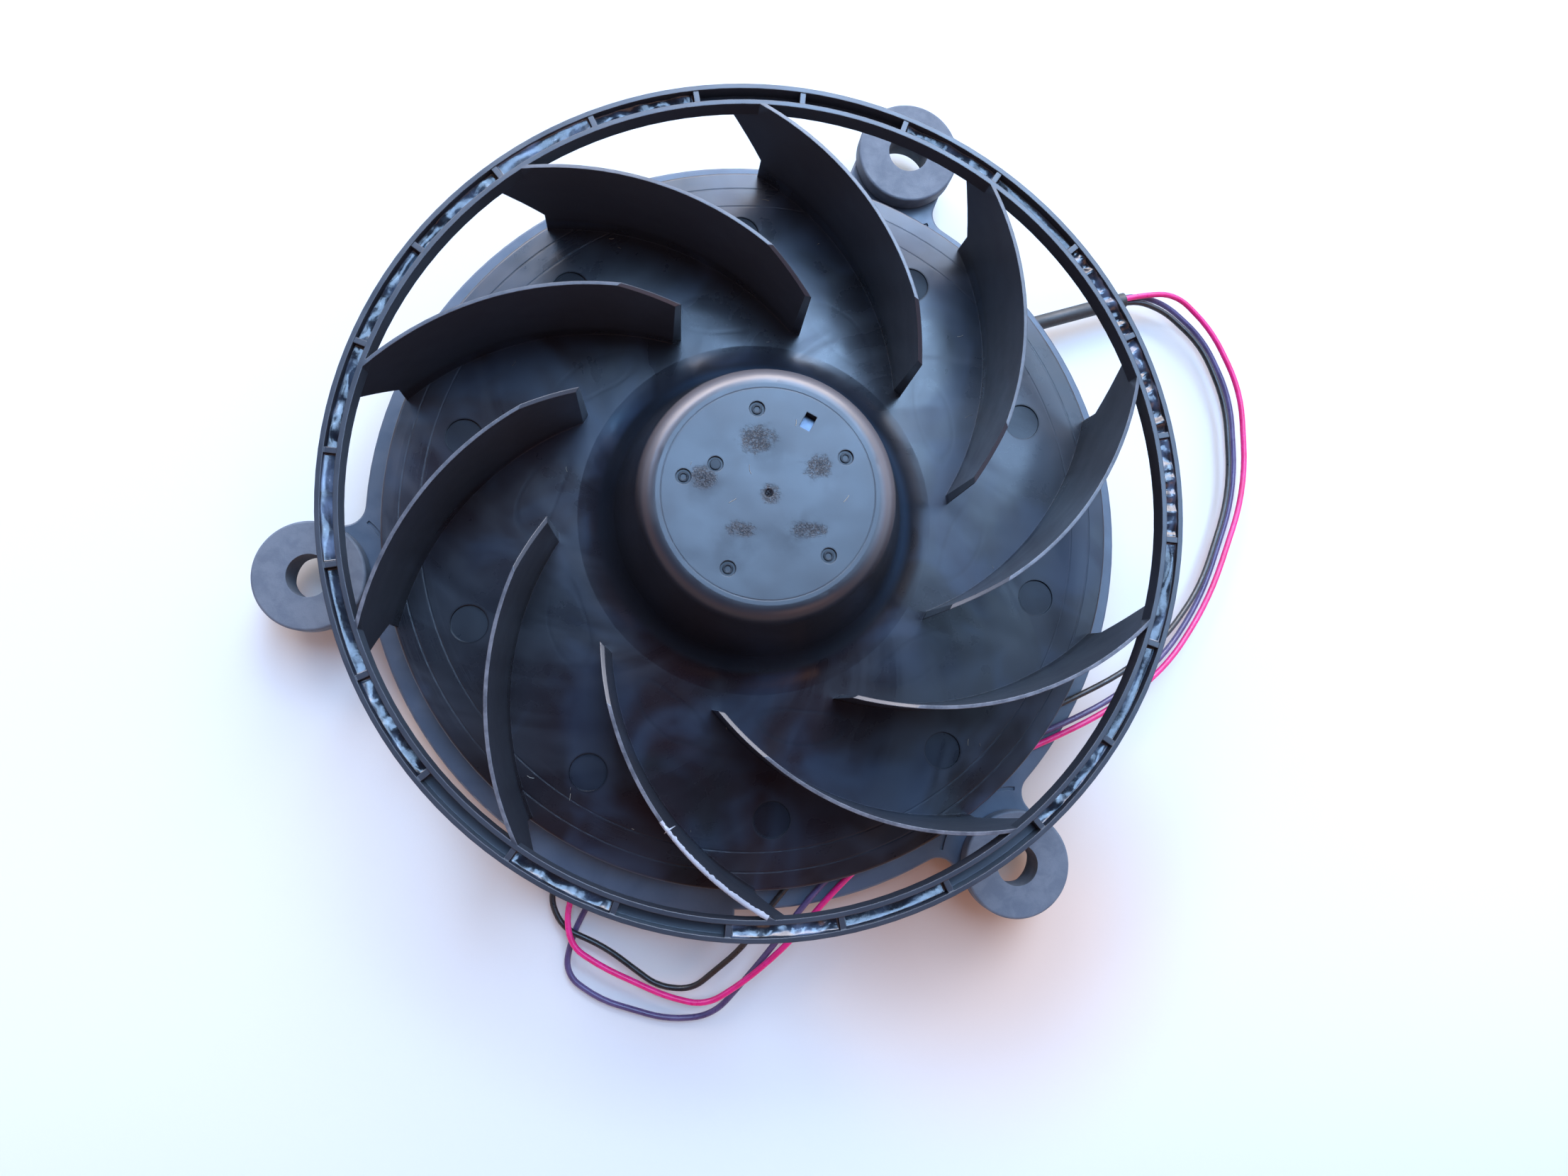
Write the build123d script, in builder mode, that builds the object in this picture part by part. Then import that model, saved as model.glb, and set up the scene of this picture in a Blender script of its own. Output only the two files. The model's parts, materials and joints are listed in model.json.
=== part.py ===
from build123d import *
import os
from math import cos, radians, sin

# Three-eared blower: an external-rotor motor carrying a ten-bladed shrouded impeller.
# Millimetres. +Z is the spin axis, towards the nose of the hub. The origin is the centre of
# the circle through the three mounting bushes, in the plane of their lower faces.

os.makedirs("parts", exist_ok=True)

# ---------------------------------------------------------------- driving dimensions
BLADE_COUNT = 10
EAR_COUNT = 3
RIB_COUNT = 24
POLE_TEETH = 9
CAP_MARK_COUNT = 5

RING_OUTER_R = 75.0  # outer shroud ring of the impeller
RING_INNER_R = 71.2
RING_TOP = 40.0
RING_HEIGHT = 3.6
RING_WALL = 0.85
RING_FIRST_RIB = 9.5  # degrees

BLADE_ARC_R = 56.0  # each blade follows one circular arc in plan
BLADE_CENTRE_R = 35.9
BLADE_CENTRE_ANGLE = 69.0
BLADE_ROOT_WIDTH = 1.2
BLADE_DRAFT = 0.6  # degrees, per side
BLADE_NOSE_R = 37.7  # upright leading edge
BLADE_NOSE_TOP = 37.4
BLADE_PEAK_R = 44.3  # where the sloping nose meets the long top edge
BLADE_PEAK_TOP = 41.9
BLADE_TAIL_TOP = 22.0  # below this the trailing edge is upright
BLADE_TAIL_R = 70.0

CAP_TOP = 43.1  # flat nose of the hub
CAP_THICK = 2.0
CAP_FLAT_R = 18.4
CAP_CORNER_R = 21.7
CAP_ROUNDING = 3.3
CAP_MARK_R = 1.35
CAP_MARK_PITCH_R = 14.7
CAP_MARK_ANGLE = 25.5
DATE_MARK_PITCH_R = 10.3
DATE_MARK_ANGLE = 151.6
HUB_FOOT_R = 28.3
HUB_FOOT_Z = 18.3
HUB_FOOT_ROUNDING = 8.0
HUB_BORE_R = 20.25

DISC_RIM_R = 70.7  # back disc of the impeller, slightly conical
DISC_RIM_Z = 15.5
DISC_THICK = 1.8
DISC_LIP = 3.0
DISC_MARK_R = 3.5
DISC_MARK_PITCH_R = 57.5
DISC_MARK_ANGLE = -15.4

PLATE_R = 75.5  # static bracket behind the impeller
PLATE_TOP = 8.0
PLATE_THICK = 3.0
GUARD_R = 79.5  # wider stretch of the plate's edge, over the leads
GUARD_START = 235.0
GUARD_SWEEP = 32.0
EAR_PITCH_R = 85.0
EAR_ANGLE = 67.3
EAR_R = 9.6
EAR_HOLE_R = 7.2
PAN_R = 30.5  # cup that holds the circuit board
PAN_WALL = 2.0
PAN_BOTTOM = -4.0
BOSS_R = 7.0
BOSS_TOP = 15.0
SHIELD_TOP = 12.8

BUSH_R = 10.5
BUSH_HOLE_R = 4.1
BUSH_SOCKET_R = 6.0  # wider lower half of the hole
BUSH_SOCKET_TOP = 6.1
BUSH_TOP = 12.1

SHAFT_R = 1.5
RUNNING_GAP = 0.03
TUBE_BORE_R = 3.2
TUBE_R = 4.3
TUBE_TOP = 33.0
STATOR_R = 15.9
CORE_BOTTOM = 18.0
CORE_TOP = 30.0
TOOTH_WIDTH = 2.6
YOKE_R = 20.2
YOKE_TOP = 41.0
YOKE_WALL = 1.0
YOKE_BOTTOM = 13.5

BOARD_R = 25.5
BOARD_BOTTOM = 8.2
BOARD_THICK = 1.6

WIRE_R = 0.6
SLEEVE_R = 1.6
SLEEVE_BORE_R = 1.4
LEAD_ANGLE = 58.0  # where the three leads leave the pan
PLUG_ANGLE = -116.0  # direction of the plug under the bracket

PLATE_BOTTOM = PLATE_TOP - PLATE_THICK
PAN_FLOOR = PAN_BOTTOM + PAN_WALL
BOARD_TOP = BOARD_BOTTOM + BOARD_THICK
RING_BOTTOM = RING_TOP - RING_HEIGHT
EAR_ANGLES = [EAR_ANGLE + index * 360 / EAR_COUNT for index in range(EAR_COUNT)]


def polar(radius, angle, height=0.0):
    """Point at a radius and an angle in degrees about the spin axis."""
    return Vector(radius * cos(radians(angle)), radius * sin(radians(angle)), height)


def arc_band(centre, radius, start, sweep, width):
    """Band of a given width along an arc, drawn in the sketch that is open."""
    with BuildLine() as band:
        outer_arc = CenterArc(centre, radius + width / 2, start, sweep)
        inner_arc = CenterArc(centre, radius - width / 2, start, sweep)
        Line(outer_arc @ 0, inner_arc @ 0)
        Line(outer_arc @ 1, inner_arc @ 1)
    make_face(band.edges())


def disc_surface(radius):
    """Height of the upper face of the impeller's back disc at a radius."""
    slope = (HUB_FOOT_Z - DISC_RIM_Z) / (DISC_RIM_R - HUB_FOOT_R)
    return DISC_RIM_Z + (DISC_RIM_R - radius) * slope


def save(part, name):
    """Label a finished piece and write it as its own STEP file."""
    part.label = name
    export_step(part, f"parts/{name}.step")


# ---------------------------------------------------------------- one impeller blade
# A drafted strip along the arc, trimmed to the blade's outline in radius and height. The
# outer end passes under the ring and slopes in to the smaller disc.
blade_centre = polar(BLADE_CENTRE_R, BLADE_CENTRE_ANGLE)
BLADE_SINK = 0.8  # how far the blade's foot runs into the disc

with BuildPart() as blade:
    with BuildSketch(Plane.XY.offset(DISC_RIM_Z - BLADE_SINK)):
        arc_band(blade_centre, BLADE_ARC_R, -76, 78, BLADE_ROOT_WIDTH)
    extrude(amount=BLADE_PEAK_TOP - DISC_RIM_Z + 2, taper=BLADE_DRAFT)
    with BuildSketch(Plane.XZ):
        with BuildLine():
            Polyline(
                (BLADE_NOSE_R, disc_surface(BLADE_NOSE_R) - BLADE_SINK),
                (BLADE_NOSE_R, BLADE_NOSE_TOP),
                (BLADE_PEAK_R, BLADE_PEAK_TOP),
                (RING_INNER_R + RING_WALL / 2, RING_TOP - 0.02),
                (RING_INNER_R + RING_WALL / 2, RING_BOTTOM + RING_WALL / 2),
                (RING_OUTER_R - RING_WALL / 2, RING_BOTTOM + RING_WALL / 2),
                (RING_OUTER_R - RING_WALL / 2, RING_BOTTOM - 0.5),
                (BLADE_TAIL_R, BLADE_TAIL_TOP),
                (BLADE_TAIL_R, disc_surface(BLADE_TAIL_R) - BLADE_SINK),
                close=True,
            )
        make_face()
    revolve(axis=Axis.Z, mode=Mode.INTERSECT)

# ---------------------------------------------------------------- impeller, one moulding
with BuildPart() as impeller:
    # hub cup and back disc
    with BuildSketch(Plane.XZ) as hub_profile:
        with BuildLine():
            Polyline(
                (0, CAP_TOP),
                (CAP_CORNER_R, CAP_TOP),
                (HUB_FOOT_R, HUB_FOOT_Z),
                (DISC_RIM_R, DISC_RIM_Z),
                (DISC_RIM_R, DISC_RIM_Z - DISC_LIP),
                (DISC_RIM_R - 1.3, DISC_RIM_Z - DISC_LIP),
                (DISC_RIM_R - 1.3, DISC_RIM_Z - DISC_THICK),
                (HUB_FOOT_R, HUB_FOOT_Z - DISC_THICK),
                (HUB_BORE_R, HUB_FOOT_Z + 4.5),
                (HUB_BORE_R, CAP_TOP - CAP_THICK),
                (0, CAP_TOP - CAP_THICK),
                close=True,
            )
        make_face()
        fillet(hub_profile.vertices().sort_by_distance((CAP_CORNER_R, CAP_TOP, 0))[0], CAP_ROUNDING)
        fillet(hub_profile.vertices().sort_by_distance((HUB_FOOT_R, HUB_FOOT_Z, 0))[0], HUB_FOOT_ROUNDING)
        fillet(hub_profile.vertices().sort_by_distance((DISC_RIM_R, DISC_RIM_Z, 0))[0], 0.5)
    revolve(axis=Axis.Z)

    # double-walled ring with an open channel on top
    with BuildSketch(Plane.XZ):
        with BuildLine():
            Polyline(
                (RING_INNER_R, RING_BOTTOM),
                (RING_OUTER_R, RING_BOTTOM),
                (RING_OUTER_R, RING_TOP),
                (RING_OUTER_R - RING_WALL, RING_TOP),
                (RING_OUTER_R - RING_WALL, RING_BOTTOM + RING_WALL),
                (RING_INNER_R + RING_WALL, RING_BOTTOM + RING_WALL),
                (RING_INNER_R + RING_WALL, RING_TOP),
                (RING_INNER_R, RING_TOP),
                close=True,
            )
        make_face()
    revolve(axis=Axis.Z)

    # ribs across the channel
    rib_length = RING_OUTER_R - RING_INNER_R - RING_WALL
    with BuildSketch(Plane.XY.offset(RING_BOTTOM + RING_WALL / 2)):
        with PolarLocations((RING_OUTER_R + RING_INNER_R) / 2, RIB_COUNT, start_angle=RING_FIRST_RIB):
            Rectangle(rib_length, 1.0)
    extrude(amount=RING_HEIGHT - RING_WALL / 2 - 0.15)

    with PolarLocations(0, BLADE_COUNT):
        add(blade.part)

    # hairline step around the flat of the cap
    with BuildSketch(Plane.XY.offset(CAP_TOP)):
        Circle(CAP_FLAT_R)
        Circle(CAP_FLAT_R - 0.15, mode=Mode.SUBTRACT)
    extrude(amount=-0.06, mode=Mode.SUBTRACT)

    # ejector recesses on the cap, each with a small raised collar, and one blank date recess
    with BuildSketch(Plane.XY.offset(CAP_TOP)):
        with PolarLocations(CAP_MARK_PITCH_R, CAP_MARK_COUNT, start_angle=CAP_MARK_ANGLE):
            Circle(CAP_MARK_R)
        with Locations(polar(DATE_MARK_PITCH_R, DATE_MARK_ANGLE)):
            Circle(CAP_MARK_R)
    extrude(amount=-0.5, mode=Mode.SUBTRACT)
    with BuildSketch(Plane.XY.offset(CAP_TOP - 0.5)):
        with PolarLocations(CAP_MARK_PITCH_R, CAP_MARK_COUNT, start_angle=CAP_MARK_ANGLE):
            Circle(0.85)
            Circle(0.55, mode=Mode.SUBTRACT)
        with Locations(polar(DATE_MARK_PITCH_R, DATE_MARK_ANGLE)):
            Circle(0.9)
    extrude(amount=0.25)

    # square-edged window through the cap, over the steel rotor cup, and the gate dimple
    with BuildSketch(Plane.XY.offset(CAP_TOP)):
        with PolarLocations(14.2, 1, start_angle=61.2):
            Rectangle(2.9, 2.0)
    extrude(amount=-CAP_THICK, mode=Mode.SUBTRACT)
    with BuildSketch(Plane.XY.offset(CAP_TOP)):
        Circle(0.8)
    extrude(amount=-0.2, taper=55, mode=Mode.SUBTRACT)

    # round ejector flats on the disc, one in each passage, and two fine turned grooves
    with BuildSketch(Plane.XY.offset(disc_surface(DISC_MARK_PITCH_R) - 0.45)):
        with PolarLocations(DISC_MARK_PITCH_R, BLADE_COUNT, start_angle=DISC_MARK_ANGLE):
            Circle(DISC_MARK_R)
    extrude(amount=1.2, mode=Mode.SUBTRACT)
    for groove_radius in (63.4, 67.2):
        with BuildSketch(Plane.XZ):
            with Locations((groove_radius, disc_surface(groove_radius))):
                Rectangle(0.3, 0.1)
        revolve(axis=Axis.Z, mode=Mode.SUBTRACT)

save(impeller.part, "impeller")

# ---------------------------------------------------------------- balancing compound
# Beads of set resin in the ring's pockets, some deep and some shallow; a few pockets are empty.
FILL_GAP = 0.04
EMPTY_POCKETS = (4, 5, 14, 16, 19)
pocket_step = 360 / RIB_COUNT

with BuildPart() as balancing_compound:
    for pocket in range(RIB_COUNT):
        if pocket in EMPTY_POCKETS:
            continue
        bead_height = 0.8 + 0.35 * (pocket % 4)
        bead_start = RING_FIRST_RIB + pocket * pocket_step + 1.0
        bead_plane = Plane.XZ.rotated((0, 0, bead_start))
        with BuildSketch(bead_plane):
            with Locations(((RING_OUTER_R + RING_INNER_R) / 2, RING_BOTTOM + RING_WALL + FILL_GAP)):
                Rectangle(
                    RING_OUTER_R - RING_INNER_R - 2 * RING_WALL - 2 * FILL_GAP,
                    bead_height,
                    align=(Align.CENTER, Align.MIN),
                )
        revolve(axis=Axis.Z, revolution_arc=pocket_step - 2.0)

save(balancing_compound.part, "balancing_compound")

# ---------------------------------------------------------------- rotor
with BuildPart() as rotor_yoke:
    with BuildSketch(Plane.XZ) as yoke_profile:
        with BuildLine():
            Polyline(
                (TUBE_R, YOKE_TOP),
                (YOKE_R, YOKE_TOP),
                (YOKE_R, YOKE_BOTTOM),
                (YOKE_R - YOKE_WALL, YOKE_BOTTOM),
                (YOKE_R - YOKE_WALL, YOKE_TOP - YOKE_WALL),
                (TUBE_R, YOKE_TOP - YOKE_WALL),
                close=True,
            )
        make_face()
        fillet(yoke_profile.vertices().sort_by_distance((YOKE_R, YOKE_TOP, 0))[0], 1.5)
        fillet(yoke_profile.vertices().sort_by_distance((YOKE_R - YOKE_WALL, YOKE_TOP - YOKE_WALL, 0))[0], 0.6)
    revolve(axis=Axis.Z)
save(rotor_yoke.part, "rotor_yoke")

with BuildPart() as ring_magnet:
    with BuildSketch(Plane.XY.offset(YOKE_BOTTOM + 0.5)):
        Circle(YOKE_R - YOKE_WALL)
        Circle(STATOR_R + 0.5, mode=Mode.SUBTRACT)
    extrude(amount=21.0)
    chamfer(ring_magnet.edges().filter_by(GeomType.CIRCLE).group_by(SortBy.RADIUS)[0], 0.4)
save(ring_magnet.part, "ring_magnet")

ROTOR_BOSS_BOTTOM = 34.0
ROTOR_FLANGE_R = 6.5
ROTOR_FLANGE_THICK = 1.4
with BuildPart() as rotor_boss:
    with BuildSketch(Plane.XY.offset(ROTOR_BOSS_BOTTOM)):
        Circle(TUBE_R)
    extrude(amount=YOKE_TOP - ROTOR_BOSS_BOTTOM)
    with BuildSketch(Plane.XY.offset(YOKE_TOP - YOKE_WALL - ROTOR_FLANGE_THICK)):
        Circle(ROTOR_FLANGE_R)
    extrude(amount=ROTOR_FLANGE_THICK)
    with BuildSketch(Plane.XY.offset(ROTOR_BOSS_BOTTOM)):
        Circle(SHAFT_R)
    extrude(amount=YOKE_TOP - ROTOR_BOSS_BOTTOM, mode=Mode.SUBTRACT)
save(rotor_boss.part, "rotor_boss")

SHAFT_BOTTOM = -0.75
CLIP_BOTTOM = 0.6
CLIP_THICK = 0.5
SHAFT_NECK_R = 1.1
with BuildPart() as shaft:
    with BuildSketch(Plane.XY.offset(SHAFT_BOTTOM)):
        Circle(SHAFT_R)
    extrude(amount=YOKE_TOP - SHAFT_BOTTOM)
    chamfer(shaft.edges().filter_by(GeomType.CIRCLE).sort_by(Axis.Z)[0], 0.5)
    with BuildSketch(Plane.XY.offset(CLIP_BOTTOM)):
        Circle(SHAFT_R + 0.1)
        Circle(SHAFT_NECK_R, mode=Mode.SUBTRACT)
    extrude(amount=CLIP_THICK, mode=Mode.SUBTRACT)
save(shaft.part, "shaft")

with BuildPart() as retaining_clip:
    with BuildSketch(Plane.XY.offset(CLIP_BOTTOM + 0.02)):
        Circle(2.6)
        Circle(SHAFT_NECK_R + 0.02, mode=Mode.SUBTRACT)
        with Locations((2.0, 0)):
            Rectangle(2.4, 1.5, mode=Mode.SUBTRACT)
    extrude(amount=CLIP_THICK - 0.04)
save(retaining_clip.part, "retaining_clip")

with BuildPart() as spacer_washer:
    with BuildSketch(Plane.XY.offset(TUBE_TOP + 0.3)):
        Circle(3.0)
        Circle(SHAFT_R, mode=Mode.SUBTRACT)
    extrude(amount=0.68)
save(spacer_washer.part, "spacer_washer")

# ---------------------------------------------------------------- bearings
with BuildPart() as bearing_tube:
    with BuildSketch(Plane.XY.offset(PAN_FLOOR)):
        Circle(TUBE_R)
        Circle(TUBE_BORE_R, mode=Mode.SUBTRACT)
    extrude(amount=TUBE_TOP - PAN_FLOOR)
    chamfer(bearing_tube.edges().filter_by(GeomType.CIRCLE).sort_by(Axis.Z)[-2:], 0.3)
save(bearing_tube.part, "bearing_tube")


def sleeve_bearing(name, bottom, length):
    """Sintered sleeve pressed into the bearing tube, with a running bore for the shaft."""
    with BuildPart() as bearing:
        with BuildSketch(Plane.XY.offset(bottom)):
            Circle(TUBE_BORE_R)
            Circle(SHAFT_R + RUNNING_GAP, mode=Mode.SUBTRACT)
        extrude(amount=length)
    save(bearing.part, name)


sleeve_bearing("lower_bearing", 2.0, 7.0)
sleeve_bearing("upper_bearing", 25.0, 7.0)

with BuildPart() as thrust_pad:
    with BuildSketch(Plane.XY.offset(PAN_FLOOR)):
        Circle(TUBE_BORE_R)
    extrude(amount=1.2)
save(thrust_pad.part, "thrust_pad")

# ---------------------------------------------------------------- stator
TOOTH_ROOT_R = 6.8
SHOE_INNER_R = 14.2
SHOE_ANGLE = 32.0
INSULATOR_THICK = 0.8
INSULATOR_WALL = 1.8


def pole_shoes(outer_radius):
    """The curved shoes at the ends of the stator's teeth, drawn in the sketch that is open."""
    shoe_depth = outer_radius - SHOE_INNER_R
    for tooth in range(POLE_TEETH):
        shoe_start = tooth * 360 / POLE_TEETH - SHOE_ANGLE / 2
        arc_band((0, 0), SHOE_INNER_R + shoe_depth / 2, shoe_start, SHOE_ANGLE, shoe_depth)


def stator_outline(outer_radius):
    """Hub, teeth and pole shoes of the stator, drawn in the sketch that is open."""
    Circle(TOOTH_ROOT_R)
    with PolarLocations((TOOTH_ROOT_R + SHOE_INNER_R) / 2, POLE_TEETH):
        Rectangle(SHOE_INNER_R - TOOTH_ROOT_R + 1.5, TOOTH_WIDTH)
    pole_shoes(outer_radius)
    Circle(TUBE_R, mode=Mode.SUBTRACT)


with BuildPart() as stator_core:
    with BuildSketch(Plane.XY.offset(CORE_BOTTOM)):
        stator_outline(STATOR_R)
    extrude(amount=CORE_TOP - CORE_BOTTOM)
save(stator_core.part, "stator_core")


def insulator(name, plane):
    """Moulded end frame of the stator with a low wall behind each pole shoe."""
    with BuildPart() as frame:
        with BuildSketch(plane):
            stator_outline(STATOR_R - 0.4)
        extrude(amount=INSULATOR_THICK)
        with BuildSketch(plane.offset(INSULATOR_THICK)):
            pole_shoes(STATOR_R - 0.6)
            Circle(TOOTH_ROOT_R - 0.3)
            Circle(TUBE_R + 0.6, mode=Mode.SUBTRACT)
        extrude(amount=INSULATOR_WALL)
    save(frame.part, name)


insulator("upper_insulator", Plane.XY.offset(CORE_TOP))
insulator("lower_insulator", Plane.XY.offset(CORE_BOTTOM).reverse())

# One coil on each tooth: a wedge that widens outwards, with the tooth's passage through it.
COIL_INNER_R = 7.5
COIL_OUTER_R = 13.4
COIL_INNER_HALF = 2.3
COIL_OUTER_HALF = 3.9
COIL_OVERHANG = 2.2
coil_passage = TOOTH_WIDTH + 0.2
with BuildPart() as stator_windings:
    with BuildSketch(Plane.XY.offset(CORE_BOTTOM - COIL_OVERHANG)):
        with PolarLocations(0, POLE_TEETH):
            Polygon(
                (COIL_INNER_R, -COIL_INNER_HALF),
                (COIL_OUTER_R, -COIL_OUTER_HALF),
                (COIL_OUTER_R, COIL_OUTER_HALF),
                (COIL_INNER_R, COIL_INNER_HALF),
                align=None,
            )
    extrude(amount=CORE_TOP - CORE_BOTTOM + 2 * COIL_OVERHANG)
    passage_bottom = CORE_BOTTOM - INSULATOR_THICK - 0.05
    with BuildSketch(Plane.XY.offset(passage_bottom)):
        with PolarLocations((COIL_INNER_R + COIL_OUTER_R) / 2, POLE_TEETH):
            Rectangle(COIL_OUTER_R - COIL_INNER_R + 1, coil_passage)
    extrude(amount=CORE_TOP + INSULATOR_THICK + 0.05 - passage_bottom, mode=Mode.SUBTRACT)
save(stator_windings.part, "stator_windings")

PIN_COUNT = 3
PIN_PITCH_R = 15.0
PIN_ANGLE = 40.0
PIN_BOTTOM = BOARD_BOTTOM - 0.8
with BuildPart() as winding_pins:
    with BuildSketch(Plane.XY.offset(PIN_BOTTOM)):
        with PolarLocations(PIN_PITCH_R, PIN_COUNT, start_angle=PIN_ANGLE):
            Rectangle(0.7, 0.7)
    extrude(amount=CORE_BOTTOM - INSULATOR_THICK - INSULATOR_WALL - PIN_BOTTOM)
save(winding_pins.part, "winding_pins")

# ---------------------------------------------------------------- circuit board
SCREW_COUNT = 3
SCREW_PITCH_R = 23.0
SCREW_ANGLE = 10.0
SCREW_R = 1.0
with BuildPart() as circuit_board:
    with BuildSketch(Plane.XY.offset(BOARD_BOTTOM)):
        Circle(BOARD_R)
        Circle(BOSS_R + 0.4, mode=Mode.SUBTRACT)
        with PolarLocations(SCREW_PITCH_R, SCREW_COUNT, start_angle=SCREW_ANGLE):
            Circle(SCREW_R + 0.15, mode=Mode.SUBTRACT)
        with PolarLocations(PIN_PITCH_R, PIN_COUNT, start_angle=PIN_ANGLE):
            Rectangle(0.9, 0.9, mode=Mode.SUBTRACT)
    extrude(amount=BOARD_THICK)
save(circuit_board.part, "circuit_board")

SCREW_HEAD_HEIGHT = 1.3
with BuildPart() as board_screws:
    with BuildSketch(Plane.XY.offset(BOARD_TOP)):
        with PolarLocations(SCREW_PITCH_R, SCREW_COUNT, start_angle=SCREW_ANGLE):
            Circle(1.9)
    extrude(amount=SCREW_HEAD_HEIGHT)
    with BuildSketch(Plane.XY.offset(BOARD_TOP)):
        with PolarLocations(SCREW_PITCH_R, SCREW_COUNT, start_angle=SCREW_ANGLE):
            Circle(SCREW_R)
    extrude(amount=-6.0)
    with BuildSketch(Plane.XY.offset(BOARD_TOP + SCREW_HEAD_HEIGHT)):
        with PolarLocations(SCREW_PITCH_R, SCREW_COUNT, start_angle=SCREW_ANGLE):
            Rectangle(2.2, 0.5)
            Rectangle(0.5, 2.2)
    extrude(amount=-0.6, mode=Mode.SUBTRACT)
save(board_screws.part, "board_screws")

with BuildPart() as hall_sensor:
    with BuildSketch(Plane.XY.offset(BOARD_TOP)):
        with PolarLocations(17.8, 1, start_angle=200):
            Rectangle(1.5, 4.0)
    extrude(amount=3.1)
    chamfer(hall_sensor.edges().group_by(Axis.Z)[-1], 0.3)
save(hall_sensor.part, "hall_sensor")

CHIP_PITCH_R = 17.5
CHIP_ANGLE = 300.0
with BuildPart() as driver_chip:
    with BuildSketch(Plane.XY.offset(BOARD_TOP + 0.2)):
        with PolarLocations(CHIP_PITCH_R, 1, start_angle=CHIP_ANGLE):
            Rectangle(3.9, 4.9)
    extrude(amount=1.5)
    # gull-wing legs, four on each long side
    with BuildSketch(Plane.XY.offset(BOARD_TOP)):
        with PolarLocations(CHIP_PITCH_R, 1, start_angle=CHIP_ANGLE):
            with GridLocations(5.0, 1.27, 2, 4):
                Rectangle(1.3, 0.45)
    extrude(amount=0.6)
save(driver_chip.part, "driver_chip")

with BuildPart() as filter_capacitor:
    with BuildSketch(Plane.XY.offset(BOARD_BOTTOM)):
        with Locations(polar(17.0, 130)):
            Circle(2.5)
    extrude(amount=-6.5)
    chamfer(filter_capacitor.edges().group_by(Axis.Z)[0], 0.4)
save(filter_capacitor.part, "filter_capacitor")

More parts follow.
